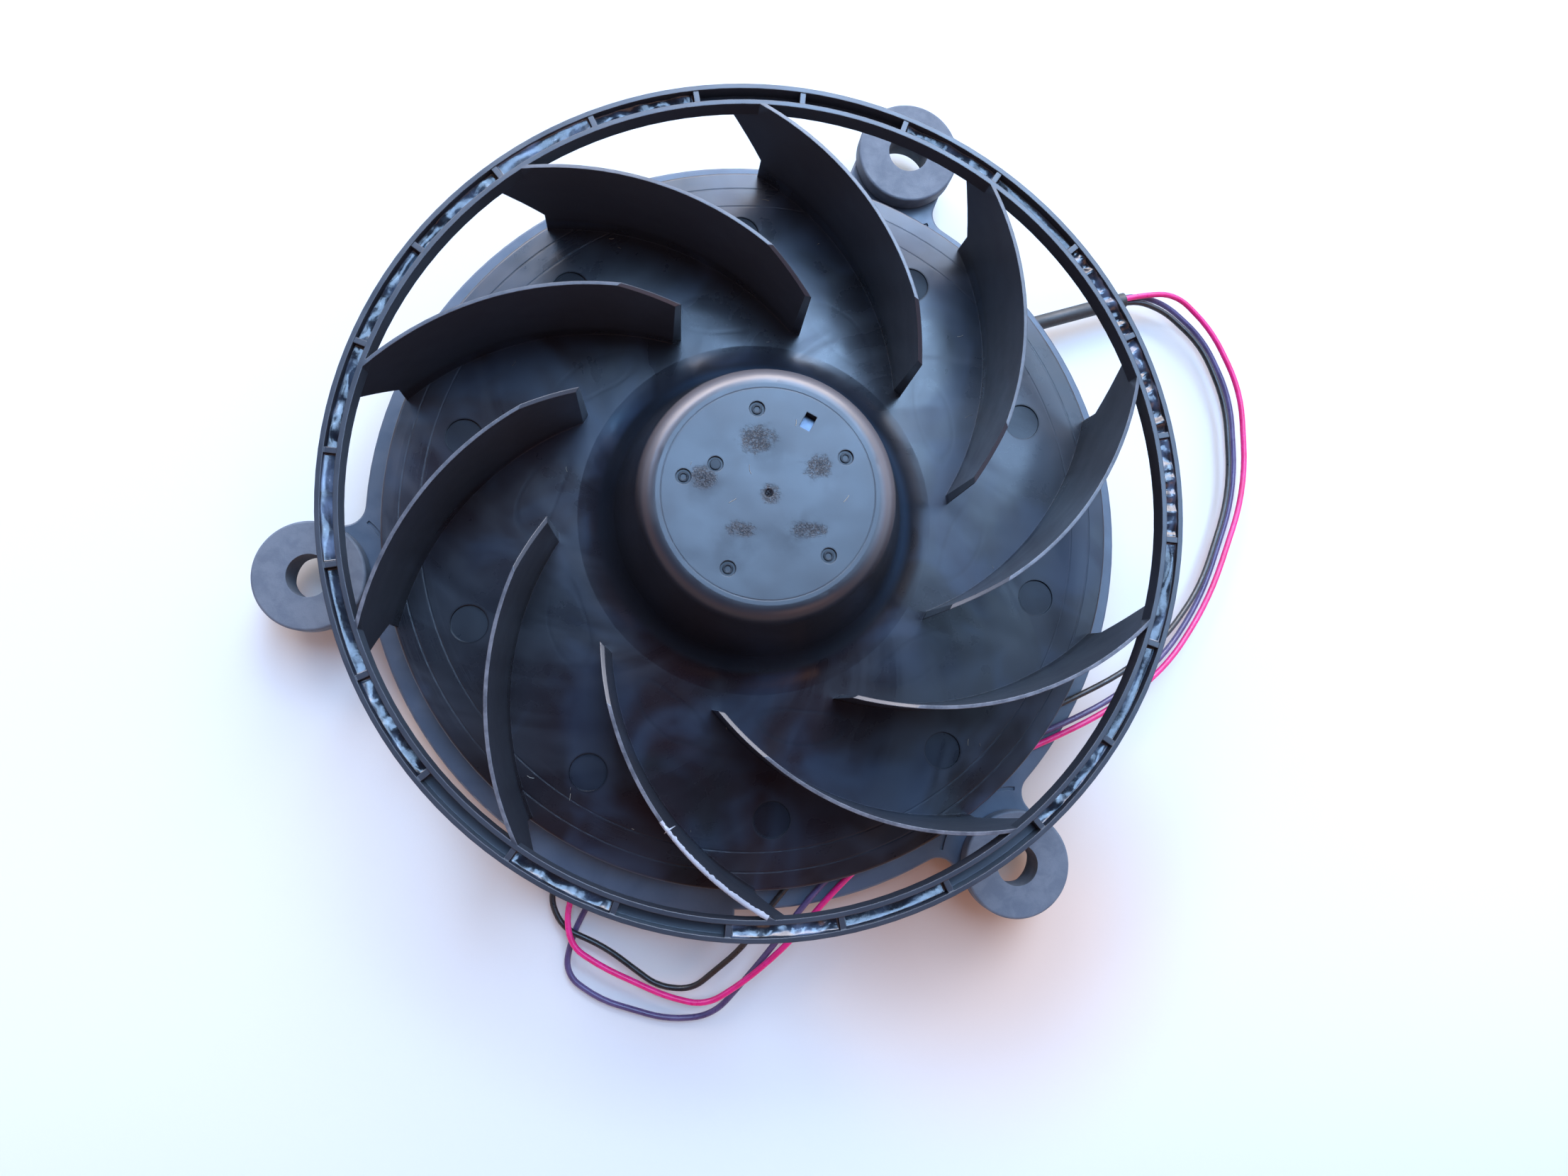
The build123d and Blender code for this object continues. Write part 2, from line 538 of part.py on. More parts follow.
# ---------------------------------------------------------------- motor bracket
POST_R = 2.4
RIB_THICK = 1.6
RIB_DEPTH = 2.6
NOTCH_WIDTH = 6.0
NOTCH_BOTTOM = -1.2
NOTCH_TOP = 2.2
with BuildPart() as motor_bracket:
    # plate with three ears, blended by concave rounds, and a wider edge where the leads pass under it
    with BuildSketch(Plane.XY.offset(PLATE_BOTTOM)) as plate_outline:
        Circle(PLATE_R)
        with PolarLocations(EAR_PITCH_R, EAR_COUNT, start_angle=EAR_ANGLE):
            Circle(EAR_R)
        with PolarLocations(EAR_PITCH_R - EAR_R, EAR_COUNT, start_angle=EAR_ANGLE):
            Rectangle(2 * EAR_R, 2 * EAR_R)
        waist = plate_outline.vertices().filter_by(
            lambda corner: PLATE_R - 1 < (corner.X**2 + corner.Y**2) ** 0.5 < PLATE_R + 1
        )
        fillet(waist, 4.0)
        with PolarLocations(EAR_PITCH_R, EAR_COUNT, start_angle=EAR_ANGLE):
            Circle(EAR_HOLE_R, mode=Mode.SUBTRACT)
        arc_band((0, 0), (GUARD_R + PLATE_R - 1) / 2, GUARD_START, GUARD_SWEEP, GUARD_R - PLATE_R + 1)
        guard_corners = plate_outline.vertices().filter_by(
            lambda corner: corner.X < 0 and corner.Y < -60 and (corner.X**2 + corner.Y**2) ** 0.5 > GUARD_R - 1
        )
        fillet(guard_corners, 2.0)
        Circle(PAN_R - PAN_WALL, mode=Mode.SUBTRACT)
    extrude(amount=PLATE_THICK)
    fillet(motor_bracket.edges().group_by(Axis.Z)[-1].filter_by(lambda edge: edge.center().length > 60), 0.4)

    # cup for the circuit board, with its floor, and the low wall around the board
    with BuildSketch(Plane.XY.offset(PAN_BOTTOM)):
        Circle(PAN_R)
    extrude(amount=PAN_WALL)
    with BuildSketch(Plane.XY.offset(PAN_FLOOR)):
        Circle(PAN_R)
        Circle(PAN_R - PAN_WALL, mode=Mode.SUBTRACT)
    extrude(amount=PLATE_TOP - PAN_FLOOR)
    with BuildSketch(Plane.XY.offset(PLATE_TOP)):
        Circle(PAN_R + 1.5)
        Circle(PAN_R, mode=Mode.SUBTRACT)
    extrude(amount=SHIELD_TOP - PLATE_TOP)

    # boss for the bearing tube
    with BuildSketch(Plane.XY.offset(PAN_FLOOR)):
        Circle(BOSS_R)
        Circle(TUBE_R, mode=Mode.SUBTRACT)
    extrude(amount=BOSS_TOP - PAN_FLOOR)

    # screw posts under the circuit board
    with BuildSketch(Plane.XY.offset(PAN_FLOOR)):
        with PolarLocations(SCREW_PITCH_R, SCREW_COUNT, start_angle=SCREW_ANGLE):
            Circle(POST_R)
            Circle(SCREW_R, mode=Mode.SUBTRACT)
    extrude(amount=BOARD_BOTTOM - PAN_FLOOR)

    # pairs of ribs under the plate, out to each ear
    with BuildSketch(Plane.XY.offset(PLATE_BOTTOM)):
        for ear_angle in EAR_ANGLES:
            for side in (-1, 1):
                with Locations(Location((0, 0, 0), (0, 0, ear_angle))):
                    with Locations((53.0, side * 8.2)):
                        Rectangle(50.0, RIB_THICK)
    extrude(amount=-RIB_DEPTH)

    # shallow creases beside each ear
    for ear_angle in EAR_ANGLES:
        for side in (-1, 1):
            crease_centre = polar(EAR_PITCH_R, ear_angle)
            crease_start = ear_angle + 180 + side * 28 - 14
            with BuildSketch(Plane.XY.offset(PLATE_TOP)):
                arc_band(crease_centre, 14.5, crease_start, 28, 0.7)
            extrude(amount=-0.4, mode=Mode.SUBTRACT)

    # notch in the cup's wall for the leads
    with BuildSketch(Plane.XY.offset(NOTCH_BOTTOM)):
        with PolarLocations(PAN_R - PAN_WALL / 2, 1, start_angle=LEAD_ANGLE):
            Rectangle(PAN_WALL + 2, NOTCH_WIDTH)
    extrude(amount=NOTCH_TOP - NOTCH_BOTTOM, mode=Mode.SUBTRACT)
save(motor_bracket.part, "motor_bracket")

# ---------------------------------------------------------------- rubber bushes
BUSH_NECK_GAP = 0.1


def rubber_bush(name, angle):
    """Spool-shaped bush held in an ear, with the mounting hole through it."""
    axis_point = polar(EAR_PITCH_R, angle)
    profile_plane = Plane(axis_point, x_dir=(1, 0, 0), z_dir=(0, -1, 0))
    with BuildPart() as bush:
        with BuildSketch(profile_plane) as profile:
            with BuildLine():
                Polyline(
                    (BUSH_SOCKET_R, 0),
                    (BUSH_R - 1.0, 0),
                    (BUSH_R - 1.0, PLATE_BOTTOM - BUSH_NECK_GAP),
                    (EAR_HOLE_R - BUSH_NECK_GAP, PLATE_BOTTOM - BUSH_NECK_GAP),
                    (EAR_HOLE_R - BUSH_NECK_GAP, PLATE_TOP + BUSH_NECK_GAP),
                    (BUSH_R, PLATE_TOP + BUSH_NECK_GAP),
                    (BUSH_R, BUSH_TOP),
                    (BUSH_HOLE_R, BUSH_TOP),
                    (BUSH_HOLE_R, BUSH_SOCKET_TOP),
                    (BUSH_SOCKET_R, BUSH_SOCKET_TOP),
                    close=True,
                )
            make_face()
            outer_corners = profile.vertices().filter_by(lambda corner: corner.X > BUSH_R - 1.5)
            fillet(outer_corners, 0.5)
        revolve(axis=Axis(axis_point, (0, 0, 1)))
    save(bush.part, name)


for bush_name, bush_angle in zip(("upper_bush", "left_bush", "right_bush"), EAR_ANGLES):
    rubber_bush(bush_name, bush_angle)

# ---------------------------------------------------------------- cable
LEAD_SPACING = 1.6
LEAD_TURN = Vector(25.0, 33.8, 1.2)  # where the leads bend from the cup towards the sleeve
LEAD_TURN_ANGLE = 38.0
SLEEVE_START = Vector(38.0, 38.8, 2.0)
SLEEVE_END = Vector(83.0, 52.1, 1.6)
BUNDLE_R = 0.76  # the three leads lie on this circle inside the sleeve
PLUG_REAR_R = 66.0
PLUG_LENGTH = 12.0
PLUG_WIDTH = 9.4
PLUG_HEIGHT = 5.4
PLUG_PITCH = 2.5
PLUG_AXIS_Z = -0.6

sleeve_heading = (SLEEVE_END - SLEEVE_START).normalized()
sleeve_plane = Plane(SLEEVE_START, x_dir=sleeve_heading.cross(Vector(0, 0, 1)), z_dir=sleeve_heading)
lead_outward = polar(1, LEAD_ANGLE)
lead_side = polar(1, LEAD_ANGLE + 90)
plug_inward = polar(-1, PLUG_ANGLE)
plug_side = polar(1, PLUG_ANGLE + 90)

with BuildPart() as cable_sleeve:
    with BuildSketch(sleeve_plane):
        Circle(SLEEVE_R)
        Circle(SLEEVE_BORE_R, mode=Mode.SUBTRACT)
    extrude(amount=(SLEEVE_END - SLEEVE_START).length)
save(cable_sleeve.part, "cable_sleeve")

with BuildPart() as cable_grommet:
    with BuildSketch(Plane(polar(PAN_R - PAN_WALL - 0.6, LEAD_ANGLE), x_dir=lead_side, z_dir=lead_outward)):
        with Locations((0, (NOTCH_TOP + NOTCH_BOTTOM) / 2)):
            Rectangle(NOTCH_WIDTH - 0.1, NOTCH_TOP - NOTCH_BOTTOM - 0.1)
        for place in (-1, 0, 1):
            with Locations((place * LEAD_SPACING, 0.5)):
                Circle(WIRE_R + 0.05, mode=Mode.SUBTRACT)
    extrude(amount=PAN_WALL + 1.6)
save(cable_grommet.part, "cable_grommet")


def rounded_route(points):
    """Straight runs joined by tangent arcs, drawn in the line builder that is open."""
    run_start = points[0]
    for before, corner, after in zip(points, points[1:], points[2:]):
        arriving = (corner - before).normalized()
        leaving = (after - corner).normalized()
        cut = 0.45 * min((corner - before).length, (after - corner).length)
        Line(run_start, corner - arriving * cut)
        TangentArc(corner - arriving * cut, corner + leaving * cut, tangent=arriving)
        run_start = corner + leaving * cut
    Line(run_start, points[-1])


def insulated_wire(name, place, bundle_angle, loop_route):
    """One lead: from the circuit board, through the sleeve, round its loops, to the plug.

    place is -1, 0 or 1 across the flat parts of the run; loop_route holds (radius, angle,
    height) of the bends between the sleeve and the plug.
    """
    across = lead_side * (place * LEAD_SPACING)
    bundle_offset = sleeve_plane.from_local_coords(
        Vector(BUNDLE_R * cos(radians(bundle_angle)), BUNDLE_R * sin(radians(bundle_angle)), 0)
    ) - SLEEVE_START
    solder_point = lead_outward * 19.0 + across + Vector(0, 0, BOARD_BOTTOM - 0.8)
    grommet_point = lead_outward * 29.5 + across + Vector(0, 0, 0.5)
    turn_point = LEAD_TURN + polar(place * LEAD_SPACING, LEAD_TURN_ANGLE + 90)
    plug_entry = polar(PLUG_REAR_R, PLUG_ANGLE, PLUG_AXIS_Z) + plug_side * (place * PLUG_PITCH)
    bends = [
        solder_point,
        solder_point + lead_outward * 5.0 + Vector(0, 0, -4.6),
        grommet_point - lead_outward * 2.5,
        grommet_point + lead_outward * 3.5,
        turn_point,
        SLEEVE_START + bundle_offset - sleeve_heading * 3.0,
        SLEEVE_END + bundle_offset + sleeve_heading * 3.0,
        *[polar(*bend) for bend in loop_route],
        plug_entry - plug_inward * 3.0,
        plug_entry + plug_inward * 3.0,
    ]

    with BuildPart() as wire:
        with BuildLine() as route:
            rounded_route(bends)
        with BuildSketch(Plane(solder_point, z_dir=bends[1] - solder_point)):
            Circle(WIRE_R)
        sweep(path=route.wire())
    save(wire.part, name)


insulated_wire(
    "red_wire",
    0,
    270,
    [
        (109.5, 29.6, 1.4),
        (113.3, 24.0, 0.8),
        (114.4, 16.5, 0.6),
        (110.2, 5.5, 0.6),
        (100.5, -8.0, 1.6),
        (92.2, -18.4, 4.6),
        (81.4, -28.0, 9.0),
        (72.6, -38.0, 9.0),
        (64.5, -52.0, 9.0),
        (66.5, -64.0, 9.0),
        (74.0, -78.5, 9.6),
        (83.0, -85.6, 6.4),
        (90.0, -91.0, 3.2),
        (95.4, -95.6, 1.4),
        (94.6, -100.4, 0.9),
        (91.9, -108.8, 0.8),
        (90.2, -113.4, 0.8),
        (84.5, -115.8, 0.4),
        (76.0, -116.3, -0.4),
    ],
)
insulated_wire(
    "violet_wire",
    1,
    150,
    [
        (107.4, 29.2, -0.8),
        (111.7, 23.6, -1.1),
        (112.6, 16.2, -1.2),
        (108.6, 5.4, -1.1),
        (99.4, -7.6, 0.2),
        (92.0, -16.4, 3.4),
        (82.1, -25.4, 8.9),
        (72.8, -35.1, 9.0),
        (62.0, -51.0, 9.0),
        (63.5, -65.0, 9.0),
        (74.0, -82.0, 9.8),
        (83.0, -87.4, 5.6),
        (91.0, -91.2, 0.2),
        (98.2, -94.6, -2.2),
        (99.8, -99.8, -2.6),
        (98.8, -107.8, -2.6),
        (96.3, -112.8, -2.6),
        (88.4, -113.8, -2.4),
        (78.0, -113.2, -1.2),
    ],
)
insulated_wire(
    "black_wire",
    -1,
    30,
    [
        (105.5, 28.4, 0.6),
        (109.6, 22.8, 0.6),
        (110.0, 15.6, 0.6),
        (106.4, 5.2, 0.8),
        (98.0, -6.6, 2.2),
        (90.5, -14.2, 5.2),
        (82.2, -21.3, 8.9),
        (72.8, -29.8, 9.0),
        (59.5, -50.0, 9.0),
        (60.0, -67.0, 9.0),
        (68.0, -82.0, 9.1),
        (75.0, -88.0, 9.6),
        (83.0, -91.4, 5.4),
        (93.0, -97.4, -0.6),
        (93.4, -101.6, -1.0),
        (88.4, -109.4, -1.0),
        (88.0, -115.4, -1.0),
        (83.3, -119.0, -1.0),
        (75.0, -118.6, -0.8),
    ],
)

# ---------------------------------------------------------------- plug on the cable's end
plug_plane = Plane(polar(PLUG_REAR_R, PLUG_ANGLE, PLUG_AXIS_Z), x_dir=plug_side, z_dir=plug_inward)
CAVITY_WIDTH = 1.9
with BuildPart() as connector_housing:
    with BuildSketch(plug_plane):
        Rectangle(PLUG_WIDTH, PLUG_HEIGHT)
    extrude(amount=PLUG_LENGTH)
    chamfer(connector_housing.edges().filter_by(lambda edge: edge.length > PLUG_LENGTH - 0.1), 0.4)
    with BuildSketch(plug_plane):
        with GridLocations(PLUG_PITCH, 1, 3, 1):
            Rectangle(CAVITY_WIDTH, 2.2)
    extrude(amount=PLUG_LENGTH, mode=Mode.SUBTRACT)
    # latch rib on the upper face
    with BuildSketch(Plane(plug_plane.origin + Vector(0, 0, PLUG_HEIGHT / 2), x_dir=plug_side, z_dir=(0, 0, 1))):
        with Locations((0, PLUG_LENGTH * 0.6)):
            Rectangle(3.0, 4.0)
    extrude(amount=0.9)
save(connector_housing.part, "connector_housing")

with BuildPart() as crimp_terminals:
    with BuildSketch(plug_plane.offset(3.1)):
        with GridLocations(PLUG_PITCH, 1, 3, 1):
            Rectangle(CAVITY_WIDTH - 0.1, 2.1)
            Rectangle(1.1, 1.2, mode=Mode.SUBTRACT)
    extrude(amount=PLUG_LENGTH - 4.0)
save(crimp_terminals.part, "crimp_terminals")
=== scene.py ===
import json
import math
import random

import bpy
from mathutils import Matrix, Vector, noise


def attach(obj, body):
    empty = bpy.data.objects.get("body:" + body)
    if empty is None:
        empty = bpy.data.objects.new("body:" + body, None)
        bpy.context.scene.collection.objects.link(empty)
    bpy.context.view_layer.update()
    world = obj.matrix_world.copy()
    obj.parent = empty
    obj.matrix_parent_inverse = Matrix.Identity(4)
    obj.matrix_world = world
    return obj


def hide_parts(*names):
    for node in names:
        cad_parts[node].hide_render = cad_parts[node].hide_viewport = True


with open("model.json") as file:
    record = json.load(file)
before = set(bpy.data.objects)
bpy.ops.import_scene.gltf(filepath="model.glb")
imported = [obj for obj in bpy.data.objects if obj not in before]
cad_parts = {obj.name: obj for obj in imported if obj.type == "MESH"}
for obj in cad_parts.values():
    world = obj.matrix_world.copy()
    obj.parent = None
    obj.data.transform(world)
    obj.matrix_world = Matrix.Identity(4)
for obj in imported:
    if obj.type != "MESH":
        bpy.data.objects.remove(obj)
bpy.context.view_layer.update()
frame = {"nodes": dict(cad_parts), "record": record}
NODES = frame["nodes"]
MM = 0.001
scene = bpy.context.scene
scene.view_settings.view_transform = "Standard"

# sizes on the impeller that looks and pieces share, in mm
CAP_TOP = 43.1
RING_TOP = 40.0
BLADE_COUNT = 10
BLADE_PITCH = 2 * math.pi / BLADE_COUNT
DISC_RIM_R = 70.7
DISC_RIM_Z = 15.5
DISC_SLOPE = 2.8 / 42.4
EJECTOR_PITCH_R = 57.5
EJECTOR_ANGLE = math.radians(15.4)


# ------------------------------------------------------------------ material network helper
class Net:
    """A material's node tree, built one node at a time."""

    def __init__(self, name):
        self.material = bpy.data.materials.new(name)
        self.material.use_nodes = True
        self.tree = self.material.node_tree
        self.tree.nodes.clear()
        self.mm = self.vec("SCALE", self.add("TexCoord", out="Object"), scale=1.0 / MM)

    def plug(self, socket, value):
        if isinstance(value, bpy.types.NodeSocket):
            self.tree.links.new(value, socket)
        else:
            socket.default_value = value

    def add(self, kind, *inputs, out=0, named=None, **settings):
        node = self.tree.nodes.new("ShaderNode" + kind)
        for key, value in settings.items():
            setattr(node, key, value)
        for index, value in enumerate(inputs):
            self.plug(node.inputs[index], value)
        for key, value in (named or {}).items():
            self.plug(node.inputs[key], value)
        return node.outputs[out]

    def math(self, operation, *values):
        return self.add("Math", *values, operation=operation)

    def plus(self, a, b):
        return self.math("ADD", a, b)

    def minus(self, a, b):
        return self.math("SUBTRACT", a, b)

    def times(self, first, *others):
        for other in others:
            first = self.math("MULTIPLY", first, other)
        return first

    def vec(self, operation, *values, scale=None):
        named = {"Scale": scale} if scale is not None else None
        out = "Value" if operation in ("LENGTH", "DOT_PRODUCT", "DISTANCE") else "Vector"
        return self.add("VectorMath", *values, operation=operation, named=named, out=out)

    def step(self, value, low, high, to_low=0.0, to_high=1.0):
        """A smooth ramp from low to high."""
        return self.add("MapRange", value, low, high, to_low, to_high, interpolation_type="SMOOTHSTEP")

    def noise(self, scale, detail=4.0, rough=0.55, vector=None, distortion=0.0):
        """Noise with its scale in cycles per millimetre."""
        named = {
            "Vector": vector if vector is not None else self.mm,
            "Scale": scale,
            "Detail": detail,
            "Roughness": rough,
            "Distortion": distortion,
        }
        return self.add("TexNoise", named=named)

    def mix(self, factor, a, b):
        node = self.tree.nodes.new("ShaderNodeMix")
        node.data_type = "RGBA"
        self.plug(node.inputs[0], factor)
        for socket, value in ((node.inputs[6], a), (node.inputs[7], b)):
            self.plug(socket, value if isinstance(value, bpy.types.NodeSocket) else (*value, 1.0))
        return node.outputs[2]

    def layered(self, colour, *layers):
        """A colour with layers laid over it, each given as (mask, amount, colour)."""
        for mask, amount, tint in layers:
            colour = self.mix(self.times(mask, amount), colour, tint)
        return colour

    def shifted(self, value, *shifts):
        """A value moved up or down where masks are, each given as (mask, amount)."""
        for mask, amount in shifts:
            value = self.plus(value, self.times(mask, amount))
        return value

    def split(self, vector=None):
        node = self.tree.nodes.new("ShaderNodeSeparateXYZ")
        self.plug(node.inputs[0], vector if vector is not None else self.mm)
        return node.outputs

    def join(self, x, y, z):
        return self.add("CombineXYZ", x, y, z)

    def near(self, point, place, far, close):
        """1 within close of a place, falling smoothly to 0 at far."""
        return self.step(self.vec("DISTANCE", point, place), far, close)

    def edge_mask(self, radius):
        """Near 1 on sharp outer edges, and the rounded normal there."""
        rounded = self.add("Bevel", radius * MM, samples=4)
        true_normal = self.add("NewGeometry", out="Normal")
        facing = self.vec("DOT_PRODUCT", rounded, true_normal)
        return self.step(facing, 0.995, 0.90), rounded

    def bump(self, height, distance, normal=None):
        named = {"Height": height, "Distance": distance * MM}
        if normal is not None:
            named["Normal"] = normal
        return self.add("Bump", named=named)

    def finish(self, **inputs):
        """The material, from the values of its principled shader."""
        names = {
            "colour": "Base Color",
            "rough": "Roughness",
            "metal": "Metallic",
            "normal": "Normal",
            "specular": "Specular IOR Level",
            "coat": "Coat Weight",
            "coat_rough": "Coat Roughness",
        }
        shader = self.tree.nodes.new("ShaderNodeBsdfPrincipled")
        for key, value in inputs.items():
            self.plug(shader.inputs[names[key]], value)
        output = self.tree.nodes.new("ShaderNodeOutputMaterial")
        self.tree.links.new(shader.outputs[0], output.inputs[0])
        return self.material


SCRATCH = 0.3
EDGE_ROUNDING = 0.15


def worn(name, base, tint, rough=(0.35, 0.55), metal=0.0, patch=0.08, grain=3.0, grain_depth=0.02,
         edge_colour=None, edge_amount=0.5, dust=0.15, specular=0.5, coat=0.0):
    """A general handled surface: patchy colour, grain, hairline scratches, dust and rubbed edges lightened
    partly as wear and partly as painted edge highlight.
    """
    net = Net(name)
    patches = net.step(net.noise(patch, 5.0, 0.6, distortion=0.4), 0.35, 0.65)
    stretched = net.vec("MULTIPLY", net.mm, (0.25, 3.0, 1.0))
    lines = net.step(net.noise(1.3, 6.0, 0.7, vector=stretched, distortion=1.5), 0.60, 0.72)
    specks = net.step(net.noise(1.7, 8.0, 0.8), 0.66, 0.74)
    mask, rounded = net.edge_mask(EDGE_ROUNDING)
    rub_and_sheen = net.times(mask, net.step(net.noise(0.7, 5.0, 0.7), 0.35, 0.6, 0.35, 1.0))
    rub_and_sheen_colour = edge_colour or tuple(min(1.0, channel * 2.2 + 0.03) for channel in base)
    dust_colour = tuple(min(1.0, channel * 1.2 + 0.16) for channel in base)
    colour = net.layered(
        net.mix(patches, base, tint),
        # rubbed edges, partly wear and partly painted edge highlight
        (rub_and_sheen, edge_amount, rub_and_sheen_colour),
        (specks, dust, dust_colour),
    )
    level = net.step(net.noise(grain * 0.11, 6.0, 0.65), 0.3, 0.7, rough[0], rough[1])
    level = net.shifted(level, (lines, SCRATCH * 0.25))
    height = net.minus(net.noise(grain, 5.0, 0.6), net.times(lines, SCRATCH))
    normal = net.bump(height, grain_depth, rounded)
    return net.finish(colour=colour, rough=level, metal=metal, normal=normal, specular=specular, coat=coat,
                      coat_rough=0.12)


# dull blotches on the cap as (x, y, width, height), and soft stains as (x, y, radius)
CAP_BLOTCHES = ((-2.0, 9.2, 4.6, 3.6), (-4.6, -6.3, 4.2, 2.2), (6.6, -6.3, 5.0, 2.4),
                (8.6, 4.6, 3.6, 3.2), (0.2, -0.2, 2.6, 2.6), (-11.0, 2.6, 3.6, 3.0))
CAP_STAINS = ((-5.5, -10.0, 6.5), (8.0, 3.0, 6.0), (-11.0, 2.0, 6.0), (0.0, 8.0, 6.0), (5.0, -7.0, 7.0))


def cap_marks(net, flat, on_cap):
    """Masks for the cap's blotches, where the moulding stuck to its tool, and for its stains."""
    blotch = 0.0
    for x, y, wide, tall in CAP_BLOTCHES:
        offset = net.vec("SUBTRACT", flat, (x, y, 0.0))
        gap = net.vec("LENGTH", net.vec("MULTIPLY", offset, (1.0 / wide, 1.0 / tall, 0.0)))
        blotch = net.math("MAXIMUM", blotch, net.step(gap, 1.15, 0.15))
    stain = 0.0
    for x, y, size in CAP_STAINS:
        stain = net.math("MAXIMUM", stain, net.near(flat, (x, y, 0.0), size, 0.0))
    stain = net.times(stain, net.step(net.noise(0.22, 4.0, 0.6), 0.36, 0.66), on_cap)
    ragged = net.times(net.minus(net.noise(0.8, 4.0, 0.65), 0.5), 1.6)
    crumbs = net.step(net.noise(3.4, 4.0, 0.7), 0.40, 0.60)
    blotch = net.times(net.step(net.plus(blotch, ragged), 0.25, 1.05), crumbs, on_cap)
    return blotch, stain


def flow_marks(net, radius, angle, on_disc):
    """Masks for the smears that wind out from the hub, which carry a painted blue sheen, the fine rings near
    the rim and the leaf lines.
    """
    spiral = net.plus(angle, net.times(radius, 0.019))
    turned = net.join(net.times(net.math("COSINE", spiral), 9.0), net.times(net.math("SINE", spiral), 9.0),
                      net.times(radius, 0.05))
    smear_sheen = net.step(net.noise(0.5, 3.0, 0.5, vector=turned, distortion=0.7), 0.44, 0.74)
    wave_place = net.join(net.times(radius, 1.3), net.times(angle, 0.6), 3.0)
    wave = net.step(net.noise(1.0, 3.0, 0.7, vector=wave_place), 0.48, 0.70)
    rings = net.times(wave, net.step(radius, 57.0, 63.0), on_disc)

    # one leaf-shaped line in each passage, 8.5 long and 3.4 wide each way, leaning as the blades sweep
    local = net.minus(net.math("FLOORED_MODULO", net.plus(angle, 0.42), BLADE_PITCH), BLADE_PITCH / 2)
    outward = net.plus(net.minus(radius, 42.0), net.times(net.noise(0.10, 1.0), 2.0))
    sideways = net.times(local, radius)
    lean_cos, lean_sin = 0.309, 0.951
    along = net.plus(net.times(outward, lean_cos / 8.5), net.times(sideways, lean_sin / 8.5))
    across = net.minus(net.times(sideways, lean_cos / 3.4), net.times(outward, lean_sin / 3.4))
    leaf = net.vec("LENGTH", net.join(along, across, 0.0))
    leaf_line = net.times(net.step(leaf, 0.80, 0.98), net.step(leaf, 1.16, 1.00), on_disc)
    return net.times(smear_sheen, on_disc), rings, leaf_line


def ejector_marks(net, radius, angle, on_disc):
    """Masks for the ten round ejector flats on the disc and for their outlines."""
    local = net.plus(angle, EJECTOR_ANGLE + BLADE_PITCH / 2)
    local = net.minus(net.math("FLOORED_MODULO", local, BLADE_PITCH), BLADE_PITCH / 2)
    unrolled = net.join(radius, net.times(local, EJECTOR_PITCH_R), 0.0)
    gap = net.vec("DISTANCE", unrolled, (EJECTOR_PITCH_R, 0.0, 0.0))
    flats = net.times(net.step(gap, 3.9, 3.3), on_disc)
    outline = net.times(net.step(gap, 4.0, 3.6), net.step(gap, 3.1, 3.5), on_disc)
    return flats, outline


